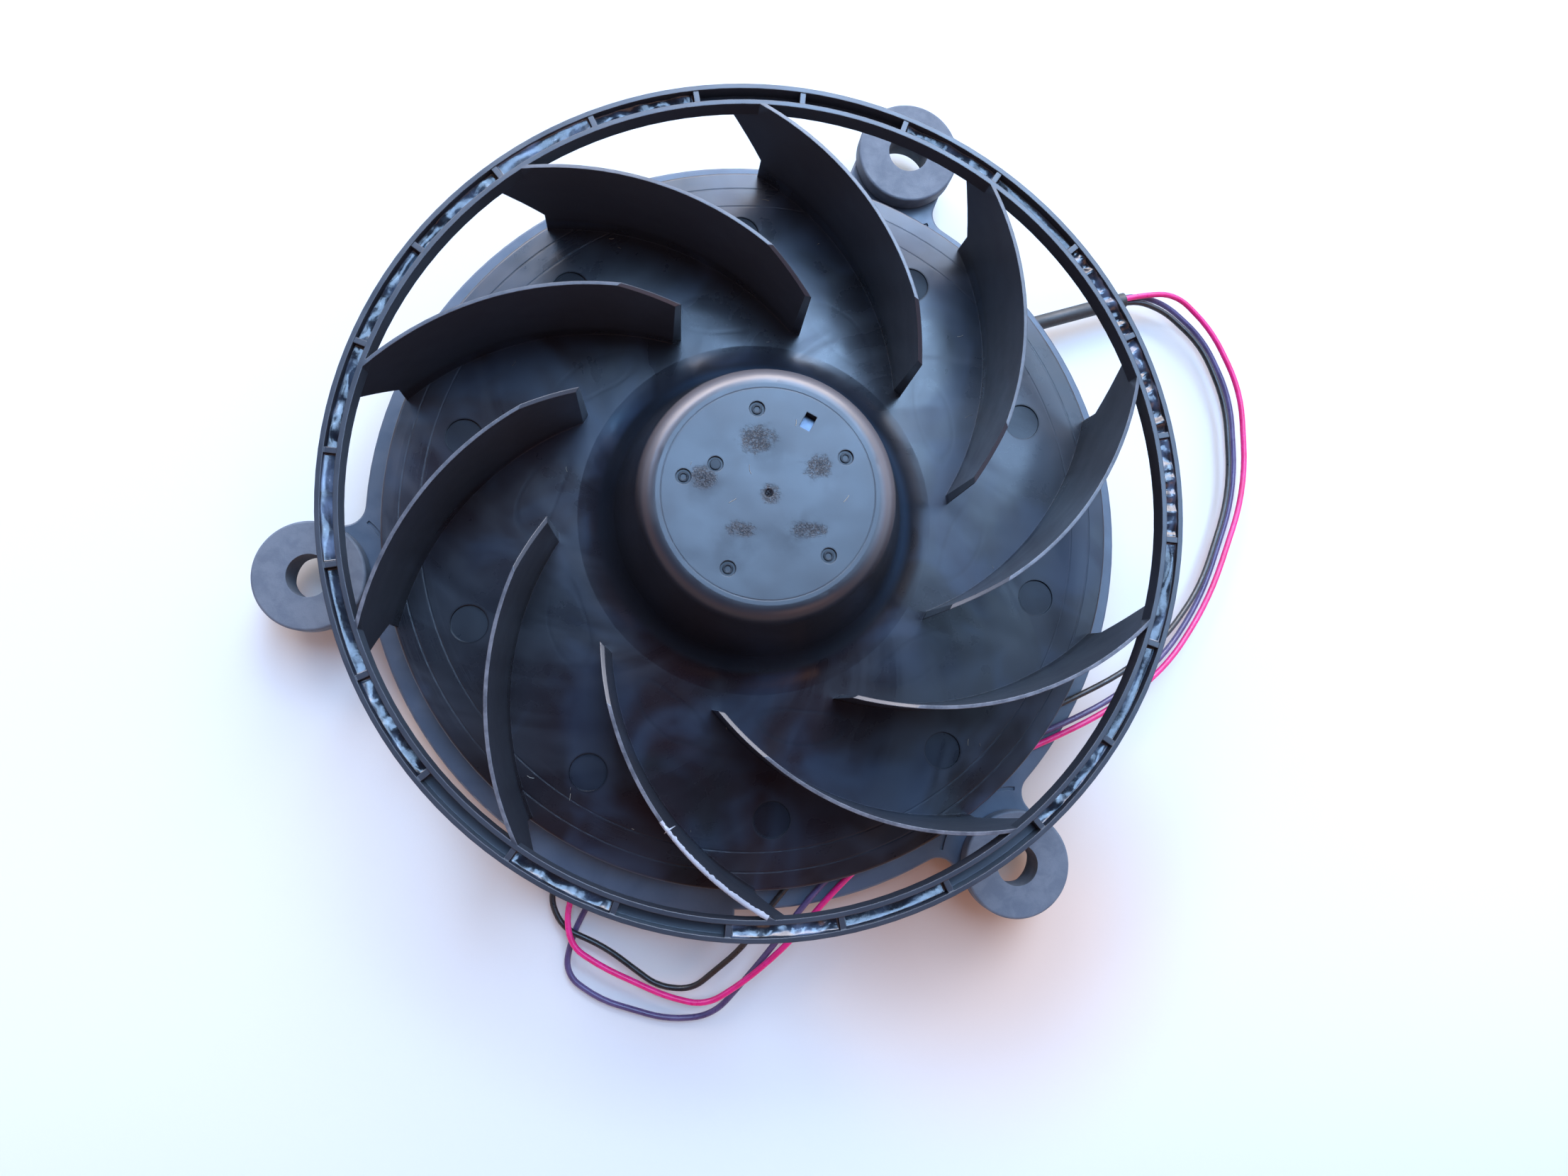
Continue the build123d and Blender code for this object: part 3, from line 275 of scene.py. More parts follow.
def impeller_plastic():
    """Satin black moulding: polished cap with dull blotches, flow marks and rings on the disc."""
    net = Net("impeller_plastic")
    x, y, z = net.split()
    flat = net.join(x, y, 0.0)
    radius = net.vec("LENGTH", flat)
    angle = net.math("ARCTAN2", y, x)
    patches = net.step(net.noise(0.045, 3.0, 0.5, distortion=0.4), 0.30, 0.70)
    on_blade = net.times(net.step(z, 19.6, 21.0), net.step(radius, 31.0, 33.0))
    on_cap = net.step(z, 42.2, 42.9)
    on_disc = net.times(net.step(z, 19.8, 18.9), net.step(radius, 27.5, 31.0))
    blotch, stain = cap_marks(net, flat, on_cap)
    smear_sheen, rings, leaf_line = flow_marks(net, radius, angle, on_disc)
    flats, outline = ejector_marks(net, radius, angle, on_disc)
    pit_shade = net.times(net.step(z, CAP_TOP - 0.04, CAP_TOP - 0.12), on_cap, net.step(radius, 17.6, 17.2))

    # faint clouds of painted reflection in the disc, red-brown low and left and blue-grey in rougher patches
    # elsewhere; painted shade on the lower side and a painted sheen on the right
    warm_place = net.math("MAXIMUM", net.near(flat, (-8.0, -46.0, 0.0), 48.0, 12.0),
                          net.near(flat, (-48.0, 12.0, 0.0), 34.0, 8.0))
    warm_reflection = net.step(net.noise(0.035, 2.5, 0.5, distortion=0.8), 0.26, 0.52)
    warm_reflection = net.times(warm_reflection, on_disc, warm_place)
    cool_place = net.vec("ADD", net.mm, (37.0, 11.0, 5.0))
    blue_sheen_patch = net.step(net.noise(0.045, 2.5, 0.5, vector=cool_place, distortion=1.0), 0.44, 0.68)
    blue_sheen_patch = net.times(blue_sheen_patch, on_disc)
    painted_shade_side = net.times(net.step(net.minus(y, net.times(x, 0.35)), 12.0, -38.0), on_disc)
    painted_sheen_right = net.times(net.near(flat, (52.0, 20.0, 0.0), 20.0, 4.0), on_disc)

    # rubbed edges lightened partly as wear and partly as painted edge highlight, a painted highlight
    # whitening the blades' tops, a painted blue reflection paling the foot of the hub and a painted warm
    # highlight on the cap's rounding
    mask, rounded = net.edge_mask(0.22)
    rub_and_sheen = net.times(mask, net.step(net.noise(0.5, 6.0, 0.75), 0.35, 0.62, 0.25, 1.0))
    rub_and_sheen = net.times(rub_and_sheen, net.minus(1.0, net.times(on_disc, 0.9)))
    up = net.split(net.add("NewGeometry", out="Normal"))[2]
    blade_top_highlight = net.times(net.step(up, 0.90, 0.985), net.step(z, 24.0, 30.0), net.step(radius, 30.0, 34.0),
                           net.step(radius, 71.2, 70.6), net.step(y, 25.0, -30.0, 0.35, 1.0),
                           net.step(net.noise(0.35, 6.0, 0.7), 0.3, 0.7, 0.15, 0.75))
    away = net.plus(net.times(x, 0.72), net.times(y, 0.69))
    hub_foot_reflection = net.times(net.step(z, 19.0, 20.8), net.step(z, 28.0, 22.0), net.step(radius, 31.5, 30.0),
                         net.step(away, -2.0, 16.0))
    cap_edge_highlight = net.times(net.step(radius, 18.9, 20.4), net.step(radius, 24.0, 22.6),
                             net.step(z, 38.6, 41.0), net.step(net.plus(y, net.times(x, 0.25)), -14.0, 10.0))

    scuff_vector = net.vec("MULTIPLY", net.mm, (0.35, 2.4, 1.0))
    scuffs = net.step(net.noise(0.9, 6.0, 0.7, vector=scuff_vector, distortion=1.5), 0.60, 0.80)
    specks = net.step(net.noise(1.9, 8.0, 0.8), 0.69, 0.75)
    lit_side = net.step(net.minus(x, y), -20.0, 40.0)
    glint = net.times(outline, lit_side, net.step(net.noise(0.05), 0.42, 0.58))
    colour = net.layered(
        net.mix(patches, (0.0130, 0.0155, 0.0215), (0.0185, 0.0220, 0.0305)),
        # painted light: the blades lighter than the disc they are moulded with, standing in for fill light
        # on their faces
        (on_blade, 0.80, (0.030, 0.036, 0.050)),
        # rubbed edges, partly wear and partly painted edge highlight
        (rub_and_sheen, 0.42, (0.10, 0.11, 0.13)),
        # painted shade on the disc's lower side
        (painted_shade_side, 0.75, (0.0095, 0.0060, 0.0070)),
        # painted sheen on the disc's right side
        (painted_sheen_right, 0.45, (0.085, 0.105, 0.135)),
        # painted highlight on the blades' upward tops, stronger towards -y
        (blade_top_highlight, 1.00, (0.21, 0.22, 0.25)),
        # painted blue reflection on the hub's foot, on the window side
        (hub_foot_reflection, 0.75, (0.028, 0.050, 0.084)),
        # painted warm highlight on the cap's rounded edge, upper side
        (cap_edge_highlight, 0.75, (0.170, 0.145, 0.145)),
        # painted shade in the cap's recesses
        (pit_shade, 0.75, (0.004, 0.006, 0.010)),
        (blotch, 0.70, (0.004, 0.006, 0.010)),
        (stain, 0.30, (0.013, 0.015, 0.020)),
        # flow smears with a painted blue sheen
        (smear_sheen, 0.35, (0.024, 0.030, 0.044)),
        # painted warm reflection low and left on the disc
        (warm_reflection, 0.90, (0.0190, 0.0085, 0.0110)),
        # painted blue reflection in rougher patches of the disc
        (blue_sheen_patch, 0.70, (0.030, 0.044, 0.075)),
        # ejector flats darkened as painted shade, more so towards +y
        (flats, net.step(y, 5.0, 35.0, 0.30, 0.85), (0.006, 0.006, 0.009)),
        (outline, 0.35, (0.005, 0.005, 0.007)),
        (glint, 0.28, (0.050, 0.060, 0.080)),
        (leaf_line, 0.25, (0.008, 0.010, 0.018)),
        (specks, 0.20, (0.16, 0.15, 0.13)),
    )
    level = net.shifted(
        net.step(net.noise(0.11, 6.0, 0.6), 0.3, 0.7, 0.28, 0.36),
        (on_disc, -0.05), (blue_sheen_patch, 0.08), (flats, -0.05), (smear_sheen, 0.14), (scuffs, 0.04), (rings, 0.05),
    )
    height = net.shifted(
        net.times(net.noise(0.06, 2.0, 0.5), 0.30),
        (net.noise(1.6, 2.0, 0.5), 0.003), (rings, -0.002), (leaf_line, -0.006), (blotch, -0.03),
    )
    shine = net.shifted(
        0.55,
        (flats, net.step(y, 5.0, 35.0, -0.12, -0.42)), (warm_reflection, -0.10), (painted_shade_side, -0.20),
        (blotch, -0.26), (stain, -0.13), (pit_shade, -0.30),
    )
    return net.finish(colour=colour, rough=level, normal=net.bump(height, 1.0, rounded), specular=shine)


def insulation(name, base, tint):
    """Soft glossy wire covering, paler at grazing angles as a painted sheen, with dark specks and faint
    bumps.
    """
    net = Net(name)
    patches = net.step(net.noise(0.25, 5.0, 0.6, distortion=0.5), 0.35, 0.68)
    facing = net.add("LayerWeight", 0.35, out="Facing")
    specks = net.step(net.noise(2.4, 8.0, 0.8), 0.66, 0.74)
    colour = net.layered(
        net.mix(patches, base, tint),
        # painted sheen at grazing angles
        (facing, 0.35, tuple(min(1.0, channel * 1.3 + 0.05) for channel in base)),
        (specks, 0.25, tuple(channel * 0.35 for channel in base)),
    )
    level = net.step(net.noise(0.8, 6.0, 0.7), 0.3, 0.7, 0.24, 0.46)
    normal = net.bump(net.noise(1.6, 5.0, 0.6), 0.03)
    return net.finish(colour=colour, rough=level, normal=normal, specular=0.5)


SHEET_THICK = 0.5


def laminated(name):
    """Stacked electrical steel with a line for every sheet."""
    net = Net(name)
    height = net.split()[2]
    groove = net.step(net.math("PINGPONG", height, SHEET_THICK / 2), 0.05, 0.0)
    rust = net.step(net.noise(0.9, 8.0, 0.75), 0.60, 0.70)
    patches = net.step(net.noise(0.4, 6.0, 0.7), 0.35, 0.65)
    colour = net.layered(
        net.mix(patches, (0.20, 0.21, 0.23), (0.30, 0.30, 0.31)),
        (groove, 0.7, (0.03, 0.03, 0.03)),
        (rust, 0.5, (0.16, 0.07, 0.03)),
    )
    level = net.step(net.noise(0.6), 0.3, 0.7, 0.32, 0.52)
    normal = net.bump(net.minus(net.noise(3.0), groove), 0.05)
    return net.finish(colour=colour, rough=level, metal=0.9, normal=normal)


CHANNEL_R = 73.0


def resin():
    """Clear set resin over dark plastic, with blue-white streaks along the channel that are partly cloudy
    resin and partly painted reflection, and bright flecks that are painted glints.
    """
    net = Net("clear_resin")
    x, y, z = net.split()
    angle = net.math("ARCTAN2", y, x)
    radius = net.vec("LENGTH", net.join(x, y, 0.0))
    run = net.join(net.times(angle, CHANNEL_R * 0.35), radius, z)
    streak = net.step(net.noise(0.42, 2.5, 0.5, vector=run, distortion=0.5), 0.38, 0.68)
    stretch = net.join(net.times(angle, CHANNEL_R * 0.16), 5.0, 2.0)
    part_full = net.step(net.noise(1.0, 1.0, 0.5, vector=stretch), 0.36, 0.62)
    haze_sheen = net.add("Attribute", attribute_name="haze_sheen", out="Fac")
    pale = net.times(streak, part_full, haze_sheen)
    # pale streaks: partly cloudy resin, partly painted reflection
    colour = net.mix(pale, (0.008, 0.011, 0.018), (0.125, 0.175, 0.270))
    flake_glints = net.step(net.noise(1.1, 6.0, 0.75, vector=run), 0.62, 0.70)
    # bright flecks painted as glints
    colour = net.mix(net.times(flake_glints, haze_sheen, haze_sheen), colour, (0.40, 0.45, 0.54))
    normal = net.bump(net.noise(0.6, 2.0, 0.5), 0.08)
    level = net.step(net.noise(0.9), 0.3, 0.7, 0.14, 0.30)
    return net.finish(colour=colour, rough=level, normal=normal, specular=0.5, coat=0.25, coat_rough=0.10)


WORN_LOOKS = {
    "bracket_plastic": dict(
        base=(0.058, 0.084, 0.125), tint=(0.077, 0.108, 0.155), rough=(0.32, 0.46), grain=2.4,
        grain_depth=0.012, edge_colour=(0.12, 0.13, 0.15), dust=0.25,
    ),
    "bush_rubber": dict(
        base=(0.105, 0.130, 0.165), tint=(0.140, 0.166, 0.200), rough=(0.55, 0.72), patch=0.3, grain=3.5,
        grain_depth=0.03, edge_colour=(0.10, 0.11, 0.115), edge_amount=0.35, dust=0.35, specular=0.35,
    ),
    "yoke_steel": dict(
        base=(0.075, 0.090, 0.115), tint=(0.100, 0.115, 0.140), rough=(0.26, 0.40), metal=1.0, patch=0.2,
        grain=4.0, grain_depth=0.01, edge_colour=(0.30, 0.31, 0.33), dust=0.1,
    ),
    "ferrite": dict(
        base=(0.045, 0.045, 0.050), tint=(0.070, 0.068, 0.070), rough=(0.45, 0.65), metal=0.4, grain=5.0,
        grain_depth=0.04,
    ),
    "brass": dict(
        base=(0.62, 0.43, 0.16), tint=(0.72, 0.52, 0.22), rough=(0.22, 0.36), metal=1.0, patch=0.4,
        grain=6.0, grain_depth=0.01, edge_colour=(0.85, 0.68, 0.36),
    ),
    "shaft_steel": dict(
        base=(0.58, 0.59, 0.60), tint=(0.68, 0.68, 0.69), rough=(0.12, 0.22), metal=1.0, grain=8.0,
        grain_depth=0.006, edge_colour=(0.85, 0.85, 0.86),
    ),
    "zinc_steel": dict(
        base=(0.50, 0.52, 0.54), tint=(0.62, 0.61, 0.56), rough=(0.25, 0.42), metal=1.0, patch=0.6,
        grain=5.0, grain_depth=0.02,
    ),
    "nylon": dict(
        base=(0.66, 0.62, 0.52), tint=(0.76, 0.73, 0.66), rough=(0.40, 0.55), patch=0.3, grain=3.0,
        grain_depth=0.02, edge_amount=0.3, dust=0.1,
    ),
    "sintered_bronze": dict(
        base=(0.30, 0.20, 0.11), tint=(0.42, 0.28, 0.15), rough=(0.40, 0.60), metal=0.9, patch=0.8,
        grain=7.0, grain_depth=0.05,
    ),
    "copper_winding": dict(
        base=(0.52, 0.18, 0.06), tint=(0.66, 0.27, 0.10), rough=(0.22, 0.34), metal=0.8, patch=0.5,
        grain=2.0, grain_depth=0.03, coat=0.5,
    ),
    "tinned_brass": dict(
        base=(0.58, 0.56, 0.50), tint=(0.66, 0.60, 0.45), rough=(0.20, 0.36), metal=1.0, patch=0.8,
        grain=5.0, grain_depth=0.01,
    ),
    "board_laminate": dict(
        base=(0.012, 0.085, 0.035), tint=(0.018, 0.120, 0.050), rough=(0.22, 0.38), patch=0.4, grain=1.5,
        grain_depth=0.02, edge_colour=(0.40, 0.38, 0.22), edge_amount=0.7,
    ),
    "chip_epoxy": dict(
        base=(0.014, 0.014, 0.015), tint=(0.022, 0.022, 0.023), rough=(0.45, 0.6), grain=6.0,
        grain_depth=0.02,
    ),
    "capacitor_can": dict(
        base=(0.42, 0.44, 0.47), tint=(0.50, 0.52, 0.54), rough=(0.22, 0.34), metal=0.9, grain=5.0,
        grain_depth=0.01,
    ),
    "sleeve_black": dict(
        base=(0.020, 0.023, 0.023), tint=(0.032, 0.034, 0.034), rough=(0.42, 0.58), patch=0.4, grain=2.0,
        grain_depth=0.05,
    ),
    "plug_nylon": dict(
        base=(0.70, 0.68, 0.62), tint=(0.78, 0.77, 0.73), rough=(0.28, 0.42), patch=0.3, grain=2.5,
        grain_depth=0.02, dust=0.1,
    ),
    "rubbed_plastic": dict(
        base=(0.30, 0.33, 0.38), tint=(0.42, 0.45, 0.50), rough=(0.45, 0.65), grain=2.5, grain_depth=0.05,
        dust=0.1,
    ),
    "lint": dict(base=(0.34, 0.31, 0.24), tint=(0.46, 0.44, 0.40), rough=(0.7, 0.9)),
}
MATERIALS = {
    "impeller_plastic": impeller_plastic(),
    "clear_resin": resin(),
    "core_steel": laminated("core_steel"),
    "wire_red": insulation("wire_red", (0.74, 0.008, 0.170), (0.86, 0.018, 0.250)),
    "wire_violet": insulation("wire_violet", (0.070, 0.048, 0.135), (0.105, 0.078, 0.195)),
    "wire_black": insulation("wire_black", (0.012, 0.012, 0.013), (0.024, 0.022, 0.022)),
}
for name, look in WORN_LOOKS.items():
    MATERIALS[name] = worn(name, **look)

for row in frame["record"]["subparts"]:
    node = NODES[row["node"]]
    node.data.materials.clear()
    node.data.materials.append(MATERIALS[row["material_slot"]])


# ------------------------------------------------------------------ visual pieces
def piece(name, vertices, faces, material):
    """A mesh in millimetres that turns with the impeller; material names its finish."""
    mesh = bpy.data.meshes.new(name)
    mesh.from_pydata([Vector(v) * MM for v in vertices], [], faces)
    mesh.validate()
    for face in mesh.polygons:
        face.use_smooth = True
    mesh.materials.append(MATERIALS[material])
    thing = bpy.data.objects.new(name, mesh)
    scene.collection.objects.link(thing)
    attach(thing, "rotor")
    return thing


def turn(radius, degrees, height):
    a = math.radians(degrees)
    return Vector((radius * math.cos(a), radius * math.sin(a), height))


FIRST_RIB = 9.5
RIB_PITCH = 15.0
RIB_HALF = 0.45
CHANNEL_IN = 72.05
CHANNEL_OUT = 74.15
CHANNEL_FLOOR = 37.25
# what each pocket between the ring's ribs holds: a key of FILLS, or "-" for nothing
POCKETS = "bbsm--mlmmmlsm-m-ws-mslb"
# each kind of fill as height, relief, lumps along the pocket, paleness, and rise towards the outer wall
FILLS = {
    "s": (0.9, 0.25, 0.35, 0.35, 0.30),
    "l": (1.9, 0.35, 0.40, 0.85, 0.30),
    "m": (1.0, 0.45, 0.75, 0.36, 0.40),
    "b": (1.7, 0.80, 1.15, 0.80, 0.55),
    "w": (1.6, 0.60, 0.80, 0.85, 0.50),
}
BEAD_STEPS = 64
BEAD_WIDTH_STEPS = 8
BEAD_ROW = BEAD_WIDTH_STEPS + 1


def bead(pocket, fill, relief, rate, lean):
    """Vertices and faces of one lumpy resin bead, closed by skirts down to the channel's floor."""
    vertices, faces = [], []
    start = FIRST_RIB + pocket * RIB_PITCH + RIB_HALF
    for i in range(BEAD_STEPS + 1):
        for j in range(BEAD_WIDTH_STEPS + 1):
            s, w = i / BEAD_STEPS, j / BEAD_WIDTH_STEPS
            spot = Vector((pocket * 23.7 + s * 17.0 * rate, w * 1.4, 3.1))
            lump = noise.noise(spot * 0.50) + 0.18 * noise.noise(spot * 1.1)
            top = CHANNEL_FLOOR + fill + relief * lump + lean * w ** 3
            top = min(max(top, CHANNEL_FLOOR + 0.12), RING_TOP - 0.10)
            swept = start + s * (RIB_PITCH - 2 * RIB_HALF)
            vertices.append(turn(CHANNEL_IN + w * (CHANNEL_OUT - CHANNEL_IN), swept, top))
    for i in range(BEAD_STEPS):
        for j in range(BEAD_WIDTH_STEPS):
            a = i * BEAD_ROW + j
            faces.append((a, a + BEAD_ROW, a + BEAD_ROW + 1, a + 1))
    rim = [i * BEAD_ROW for i in range(BEAD_STEPS + 1)]
    rim += [BEAD_STEPS * BEAD_ROW + j for j in range(1, BEAD_ROW)]
    rim += [i * BEAD_ROW + BEAD_WIDTH_STEPS for i in range(BEAD_STEPS - 1, -1, -1)]
    rim += list(range(BEAD_WIDTH_STEPS - 1, 0, -1))
    low = len(vertices)
    vertices += [Vector((vertices[index].x, vertices[index].y, CHANNEL_FLOOR)) for index in rim]
    for k in range(len(rim)):
        n = (k + 1) % len(rim)
        faces.append((rim[k], rim[n], low + n, low + k))
    faces.append(tuple(range(low + len(rim) - 1, low - 1, -1)))
    return vertices, faces


random.seed(41)
vertices, faces, haze_sheen = [], [], []
for pocket, kind in enumerate(POCKETS):
    if kind == "-":
        continue
    fill, relief, rate, paleness, lean = FILLS[kind]
    bead_vertices, bead_faces = bead(pocket, fill + random.uniform(-0.2, 0.2), relief, rate, lean)
    base = len(vertices)
    vertices += bead_vertices
    faces += [tuple(base + index for index in face) for face in bead_faces]
    haze_sheen += [paleness] * len(bead_vertices)
beads = piece("resin_beads", vertices, faces, "clear_resin")
beads.data.attributes.new("haze_sheen", "FLOAT", "POINT").data.foreach_set("value", haze_sheen)
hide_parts("balancing_compound")

# a scuffed white burr on the outer part of one blade's top edge, with three tags of flash near its start
BLADE_ARC = 56.0
BLADE_CENTRE = turn(35.9, 69.0, 0.0)
BLADE_SPAN = (-76.0, 2.0)
BURRED_BLADE = math.radians(252.0)
BLADE_PEAK = (44.3, 41.9)
BLADE_END = (71.6, 39.98)
BURR_FROM, BURR_TO = 57.5, 70.9
BURR_STEPS = 110
TAG_R = 58.6


def blade_point(radius_wanted, side, height):
    """A point on the burred blade's centre line at a radius, moved sideways by side."""
    low, high = BLADE_SPAN
    for _ in range(40):
        middle = (low + high) / 2
        spot = BLADE_CENTRE + turn(BLADE_ARC, middle, 0.0)
        if spot.length < radius_wanted:
            low = middle
        else:
            high = middle
    spot = BLADE_CENTRE + turn(BLADE_ARC + side, middle, 0.0)
    spot.rotate(Matrix.Rotation(BURRED_BLADE, 3, "Z"))
    return Vector((spot.x, spot.y, height))


def blade_top(radius):
    """Height of the blades' long top edge, from its peak out to the ring."""
    fall = (BLADE_PEAK[1] - BLADE_END[1]) / (BLADE_END[0] - BLADE_PEAK[0])
    return BLADE_PEAK[1] - (radius - BLADE_PEAK[0]) * fall


vertices, faces = [], []
for i in range(BURR_STEPS + 1):
    along = i / BURR_STEPS
    r = BURR_FROM + (BURR_TO - BURR_FROM) * along
    ragged = noise.noise(Vector((i * 0.31, 4.0, 0.0)))
    width = max(0.08, 0.30 + 0.30 * ragged + 0.22 * along)
    lift = 0.05 + 0.10 * abs(noise.noise(Vector((i * 0.53, 9.0, 0.0))))
    top = blade_top(r)
    vertices.append(blade_point(r, -width, top + 0.01))
    vertices.append(blade_point(r, -0.2 * width, top + lift))
    vertices.append(blade_point(r, 0.7 * width, top + 0.6 * lift))
    vertices.append(blade_point(r, 0.42, top - 0.25))
    if i:
        a = 4 * (i - 1)
        faces += [(a + j, a + j + 1, a + j + 5, a + j + 4) for j in range(3)]
TAG_LIFT = Vector((0, 0, 0.1))
for reach, heading in ((1.5, 0.5), (1.1, 2.2), (0.8, 3.9)):
    base = len(vertices)
    root = blade_point(TAG_R, 0.0, blade_top(TAG_R) + 0.03)
    tip = root + Vector((reach * math.cos(heading), reach * math.sin(heading), 0.0))
    across = Vector((-math.sin(heading), math.cos(heading), 0.0)) * 0.16
    vertices += [root - across, root + across, tip + across * 0.3, tip - across * 0.3]
    vertices += [root - across + TAG_LIFT, root + across + TAG_LIFT]
    faces += [(base, base + 1, base + 2, base + 3), (base + 4, base + 3, base + 2, base + 5)]
piece("blade_burr", vertices, faces, "rubbed_plastic")

# fibres of lint that have settled on the disc and the cap
vertices, faces = [], []


def fibre(points, width):
    """A thin three-sided thread through points."""
    base = len(vertices)
    for k, point in enumerate(points):
        ahead = points[min(k + 1, len(points) - 1)] - points[max(k - 1, 0)]
        across = ahead.cross(Vector((0, 0, 1))).normalized() * width
        vertices.extend((point - across, point + across, point + Vector((0, 0, width * 1.6))))
        if k:
            a = base + 3 * (k - 1)
            for j in range(3):
                n = (j + 1) % 3
                faces.append((a + j, a + n, a + 3 + n, a + 3 + j))


def disc_height(radius):
    return DISC_RIM_Z + (DISC_RIM_R - radius) * DISC_SLOPE


FIBRE_STEPS = 6
FIBRE_LIFT = 0.03
for place, count, inner, outer in (("disc", 26, 33, 66), ("cap", 5, 3, 16)):
    for _ in range(count):
        r = random.uniform(inner, outer)
        angle = random.uniform(0, 360)
        heading = random.uniform(0, 2 * math.pi)
        length = random.uniform(0.4, 1.9)
        bend = random.uniform(-1.2, 1.2)
        start = turn(r, angle, 0.0)
        points = []
        for k in range(FIBRE_STEPS + 1):
            turned = heading + bend * k / FIBRE_STEPS
            start = start + Vector((math.cos(turned), math.sin(turned), 0.0)) * length / FIBRE_STEPS
            base_height = disc_height(start.length) if place == "disc" else CAP_TOP
            points.append(Vector((start.x, start.y, base_height + FIBRE_LIFT)))
        fibre(points, random.uniform(0.03, 0.07))
piece("lint", vertices, faces, "lint")

# ------------------------------------------------------------------ stage, light, camera
FLOOR_HALF = 2.5
FLOOR_Z = -0.004


def floor_sheet():
    """A pale sheet with painted shade darker towards the camera's side and a painted warm shadow tint under
    the fan and by its right ear.
    """
    net = Net("floor")
    x, y, _ = net.split()
    flat = net.join(x, y, 0.0)
    tone = net.step(net.noise(0.004, 3.0, 0.5), 0.3, 0.7)
    colour = net.layered(
        net.mix(tone, (0.805, 0.825, 0.800), (0.825, 0.840, 0.815)),
        # painted shade towards the camera's side
        (net.step(y, -60.0, -230.0), 1.00, (0.545, 0.655, 0.725)),
        # painted warm shadow tint under the fan
        (net.near(flat, (0.0, 0.0, 0.0), 92.0, 72.0), 0.80, (0.85, 0.78, 0.68)),
        # painted warm shadow by the fan's right ear
        (net.near(flat, (50.0, -78.0, 0.0), 58.0, 8.0), 0.85, (0.74, 0.52, 0.38)),
    )
    return net.finish(colour=colour, rough=0.6, normal=net.bump(net.noise(0.6), 0.02), specular=0.3)


floor_mesh = bpy.data.meshes.new("floor")
corners = [(FLOOR_HALF * x, FLOOR_HALF * y, FLOOR_Z) for x, y in ((-1, -1), (1, -1), (1, 1), (-1, 1))]
floor_mesh.from_pydata(corners, [], [(0, 1, 2, 3)])
floor_mesh.materials.append(floor_sheet())
floor = bpy.data.objects.new("floor", floor_mesh)
scene.collection.objects.link(floor)

world = bpy.data.worlds.new("soft_room")
scene.world = world
world.use_nodes = True
tree = world.node_tree
tree.nodes.clear()
coordinate = tree.nodes.new("ShaderNodeTexCoord").outputs["Generated"]
parts = tree.nodes.new("ShaderNodeSeparateXYZ")
tree.links.new(coordinate, parts.inputs[0])


def world_ramp(value, stops):
    """A colour ramp over a value, with its stops as (position, colour)."""
    ramp = tree.nodes.new("ShaderNodeValToRGB")
    elements = ramp.color_ramp.elements
    elements[0].position, elements[0].color = stops[0][0], (*stops[0][1], 1.0)
    elements[1].position, elements[1].color = stops[-1][0], (*stops[-1][1], 1.0)
    for position, colour in stops[1:-1]:
        elements.new(position).color = (*colour, 1.0)
    tree.links.new(value, ramp.inputs[0])
    return ramp.outputs[0]


# dim blue overhead, a warm band at mid height, pale walls low down; brighter towards the window
ROOM_BY_HEIGHT = (
    (0.00, (0.55, 0.60, 0.68)),
    (0.28, (0.78, 0.80, 0.86)),
    (0.52, (0.80, 0.66, 0.60)),
    (0.74, (0.34, 0.36, 0.42)),
    (0.90, (0.10, 0.13, 0.20)),
    (1.00, (0.08, 0.10, 0.16)),
)
ROOM_BY_SIDE = (
    (0.00, (0.75, 0.50, 0.42)),
    (0.36, (1.00, 0.62, 0.55)),
    (0.50, (0.80, 0.86, 0.95)),
    (0.66, (1.20, 1.45, 1.80)),
    (0.80, (1.60, 1.90, 2.30)),
    (1.00, (1.50, 1.65, 1.85)),
)
TOWARDS_WINDOW = Vector((0.35, 0.94, 0.0)).normalized()
ROOM_STRENGTH = 1.15
WALL_COLOUR = (0.80, 0.82, 0.85, 1.0)
side = tree.nodes.new("ShaderNodeVectorMath")
side.operation = "DOT_PRODUCT"
side.inputs[1].default_value = TOWARDS_WINDOW
tree.links.new(coordinate, side.inputs[0])
rescale = tree.nodes.new("ShaderNodeMapRange")
rescale.inputs["From Min"].default_value = -1.0
tree.links.new(side.outputs["Value"], rescale.inputs[0])
product = tree.nodes.new("ShaderNodeMix")
product.data_type = "RGBA"
product.blend_type = "MULTIPLY"
product.inputs[0].default_value = 1.0
tree.links.new(world_ramp(parts.outputs[2], ROOM_BY_HEIGHT), product.inputs[6])
tree.links.new(world_ramp(rescale.outputs[0], ROOM_BY_SIDE), product.inputs[7])
room = tree.nodes.new("ShaderNodeBackground")
room.inputs[1].default_value = ROOM_STRENGTH
tree.links.new(product.outputs[2], room.inputs[0])

# the camera sees a plain pale wall; the tinted room only lights the fan
wall = tree.nodes.new("ShaderNodeBackground")
wall.inputs[0].default_value = WALL_COLOUR
ray = tree.nodes.new("ShaderNodeLightPath")
seen = tree.nodes.new("ShaderNodeMixShader")
tree.links.new(ray.outputs["Is Camera Ray"], seen.inputs[0])
tree.links.new(room.outputs[0], seen.inputs[1])
tree.links.new(wall.outputs[0], seen.inputs[2])
out = tree.nodes.new("ShaderNodeOutputWorld")
tree.links.new(seen.outputs[0], out.inputs[0])

LIGHT_TARGET = Vector((0.0, 0.0, 0.03))


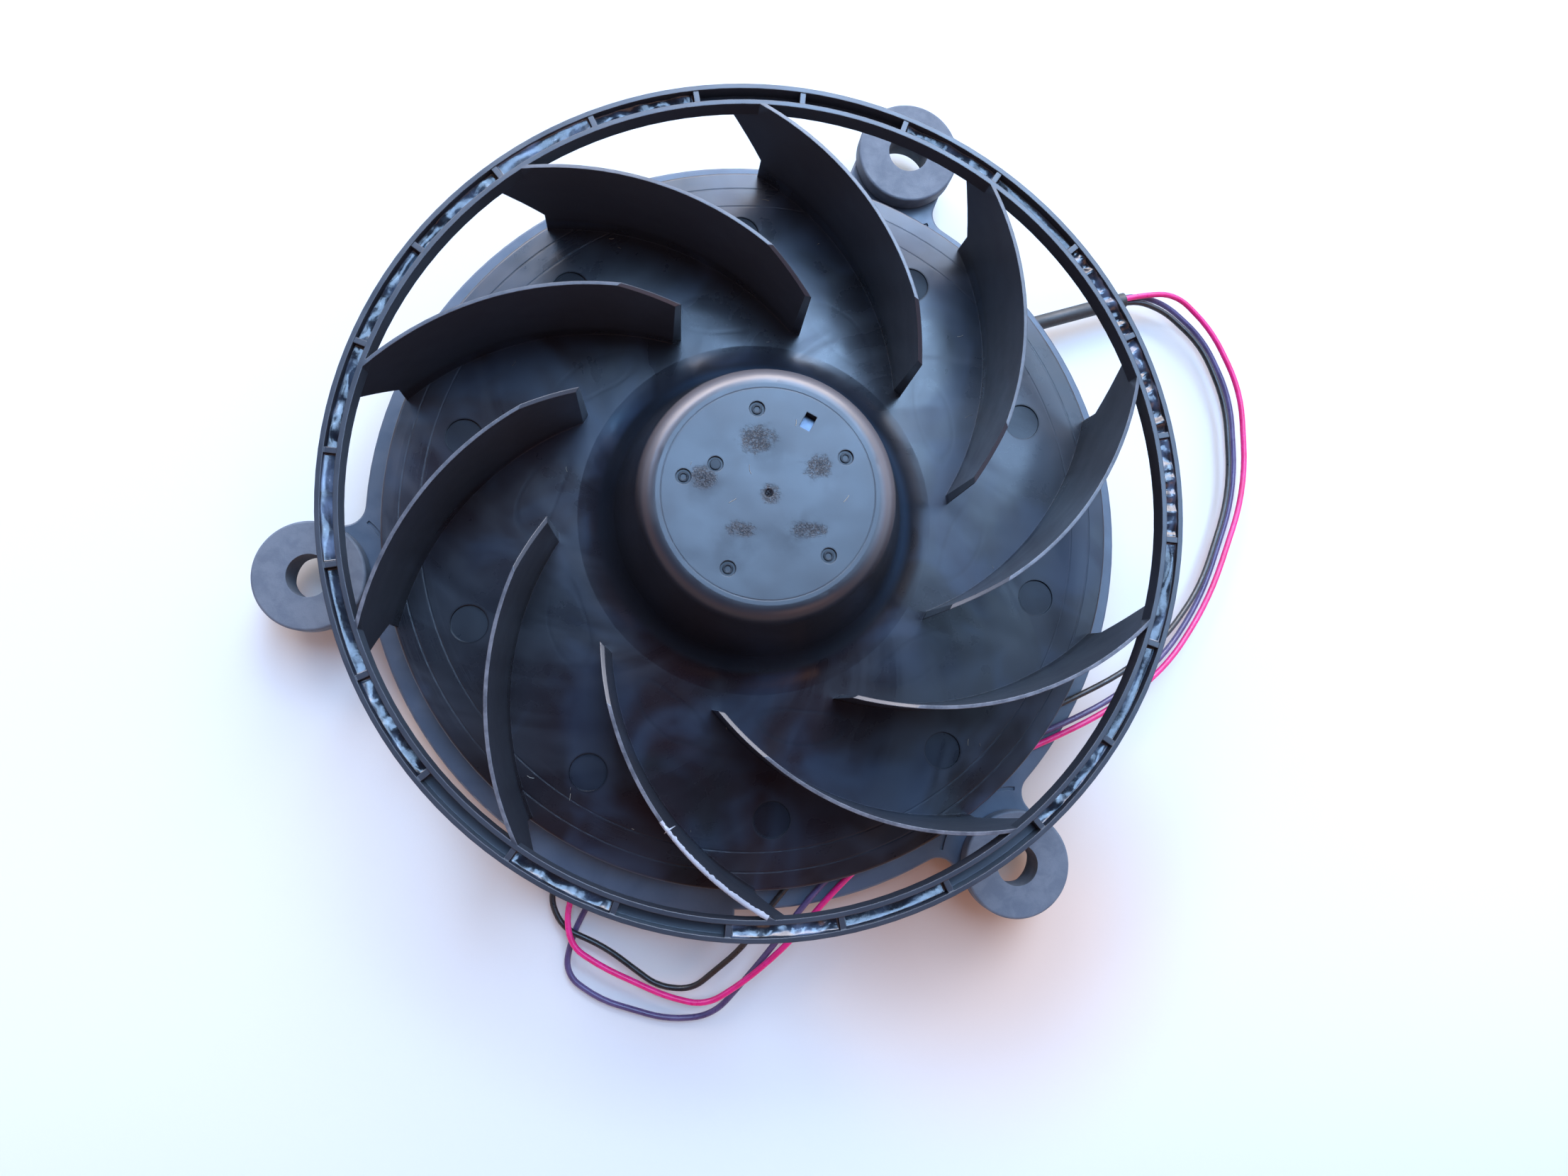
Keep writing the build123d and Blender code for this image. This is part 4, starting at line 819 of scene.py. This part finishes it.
def soft_light(name, place, size, power, colour, only_reflected=False):
    """A rectangular light facing the fan; one only reflected adds sheen but no light on dull surfaces."""
    data = bpy.data.lights.new(name, "AREA")
    data.shape = "RECTANGLE"
    data.size, data.size_y = size
    data.energy = power
    data.color = colour
    lamp = bpy.data.objects.new(name, data)
    scene.collection.objects.link(lamp)
    lamp.location = place
    lamp.rotation_euler = (LIGHT_TARGET - Vector(place)).to_track_quat("-Z", "Y").to_euler()
    lamp.visible_diffuse = not only_reflected


soft_light("window", (0.50, 1.10, 0.95), (1.2, 0.9), 9.0, (0.97, 0.97, 1.0))
soft_light("ceiling", (0.16, 0.52, 1.16), (0.46, 0.95), 18.5, (0.38, 0.62, 1.0))
soft_light("corner", (-0.45, 0.95, 0.95), (0.40, 0.35), 3.4, (1.0, 0.80, 0.68))
soft_light("lamp", (0.45, -0.75, 0.95), (0.5, 0.5), 1.0, (1.0, 0.55, 0.36))
soft_light("bright_wall", (-0.10, 1.20, 0.88), (2.1, 0.66), 36.0, (1.0, 0.92, 0.95), only_reflected=True)
soft_light("sky_right", (0.50, 0.34, 1.12), (0.80, 0.26), 7.0, (0.42, 0.66, 1.0), only_reflected=True)
soft_light("sky_back", (-0.50, 0.66, 0.98), (0.75, 0.22), 5.0, (0.20, 0.52, 1.0), only_reflected=True)
soft_light("sky_side", (0.88, 0.10, 0.90), (0.70, 0.26), 1.8, (0.25, 0.52, 1.0), only_reflected=True)

camera_data = bpy.data.cameras.new("camera")
camera_data.sensor_width = 36.0
camera_data.lens = 24.86
camera_data.clip_start = 0.005
camera = bpy.data.objects.new("camera", camera_data)
scene.collection.objects.link(camera)
right = Vector((0.9940, -0.0092, 0.1086)).normalized()
forward = Vector((0.1090, 0.1022, -0.9888)).normalized()
up = right.cross(forward).normalized()
right = forward.cross(up).normalized()
camera.matrix_world = Matrix.Translation(Vector((-17.45, -34.81, 223.2)) * MM) @ Matrix(
    (
        (right.x, up.x, -forward.x, 0),
        (right.y, up.y, -forward.y, 0),
        (right.z, up.z, -forward.z, 0),
        (0, 0, 0, 1),
    )
)
scene.camera = camera
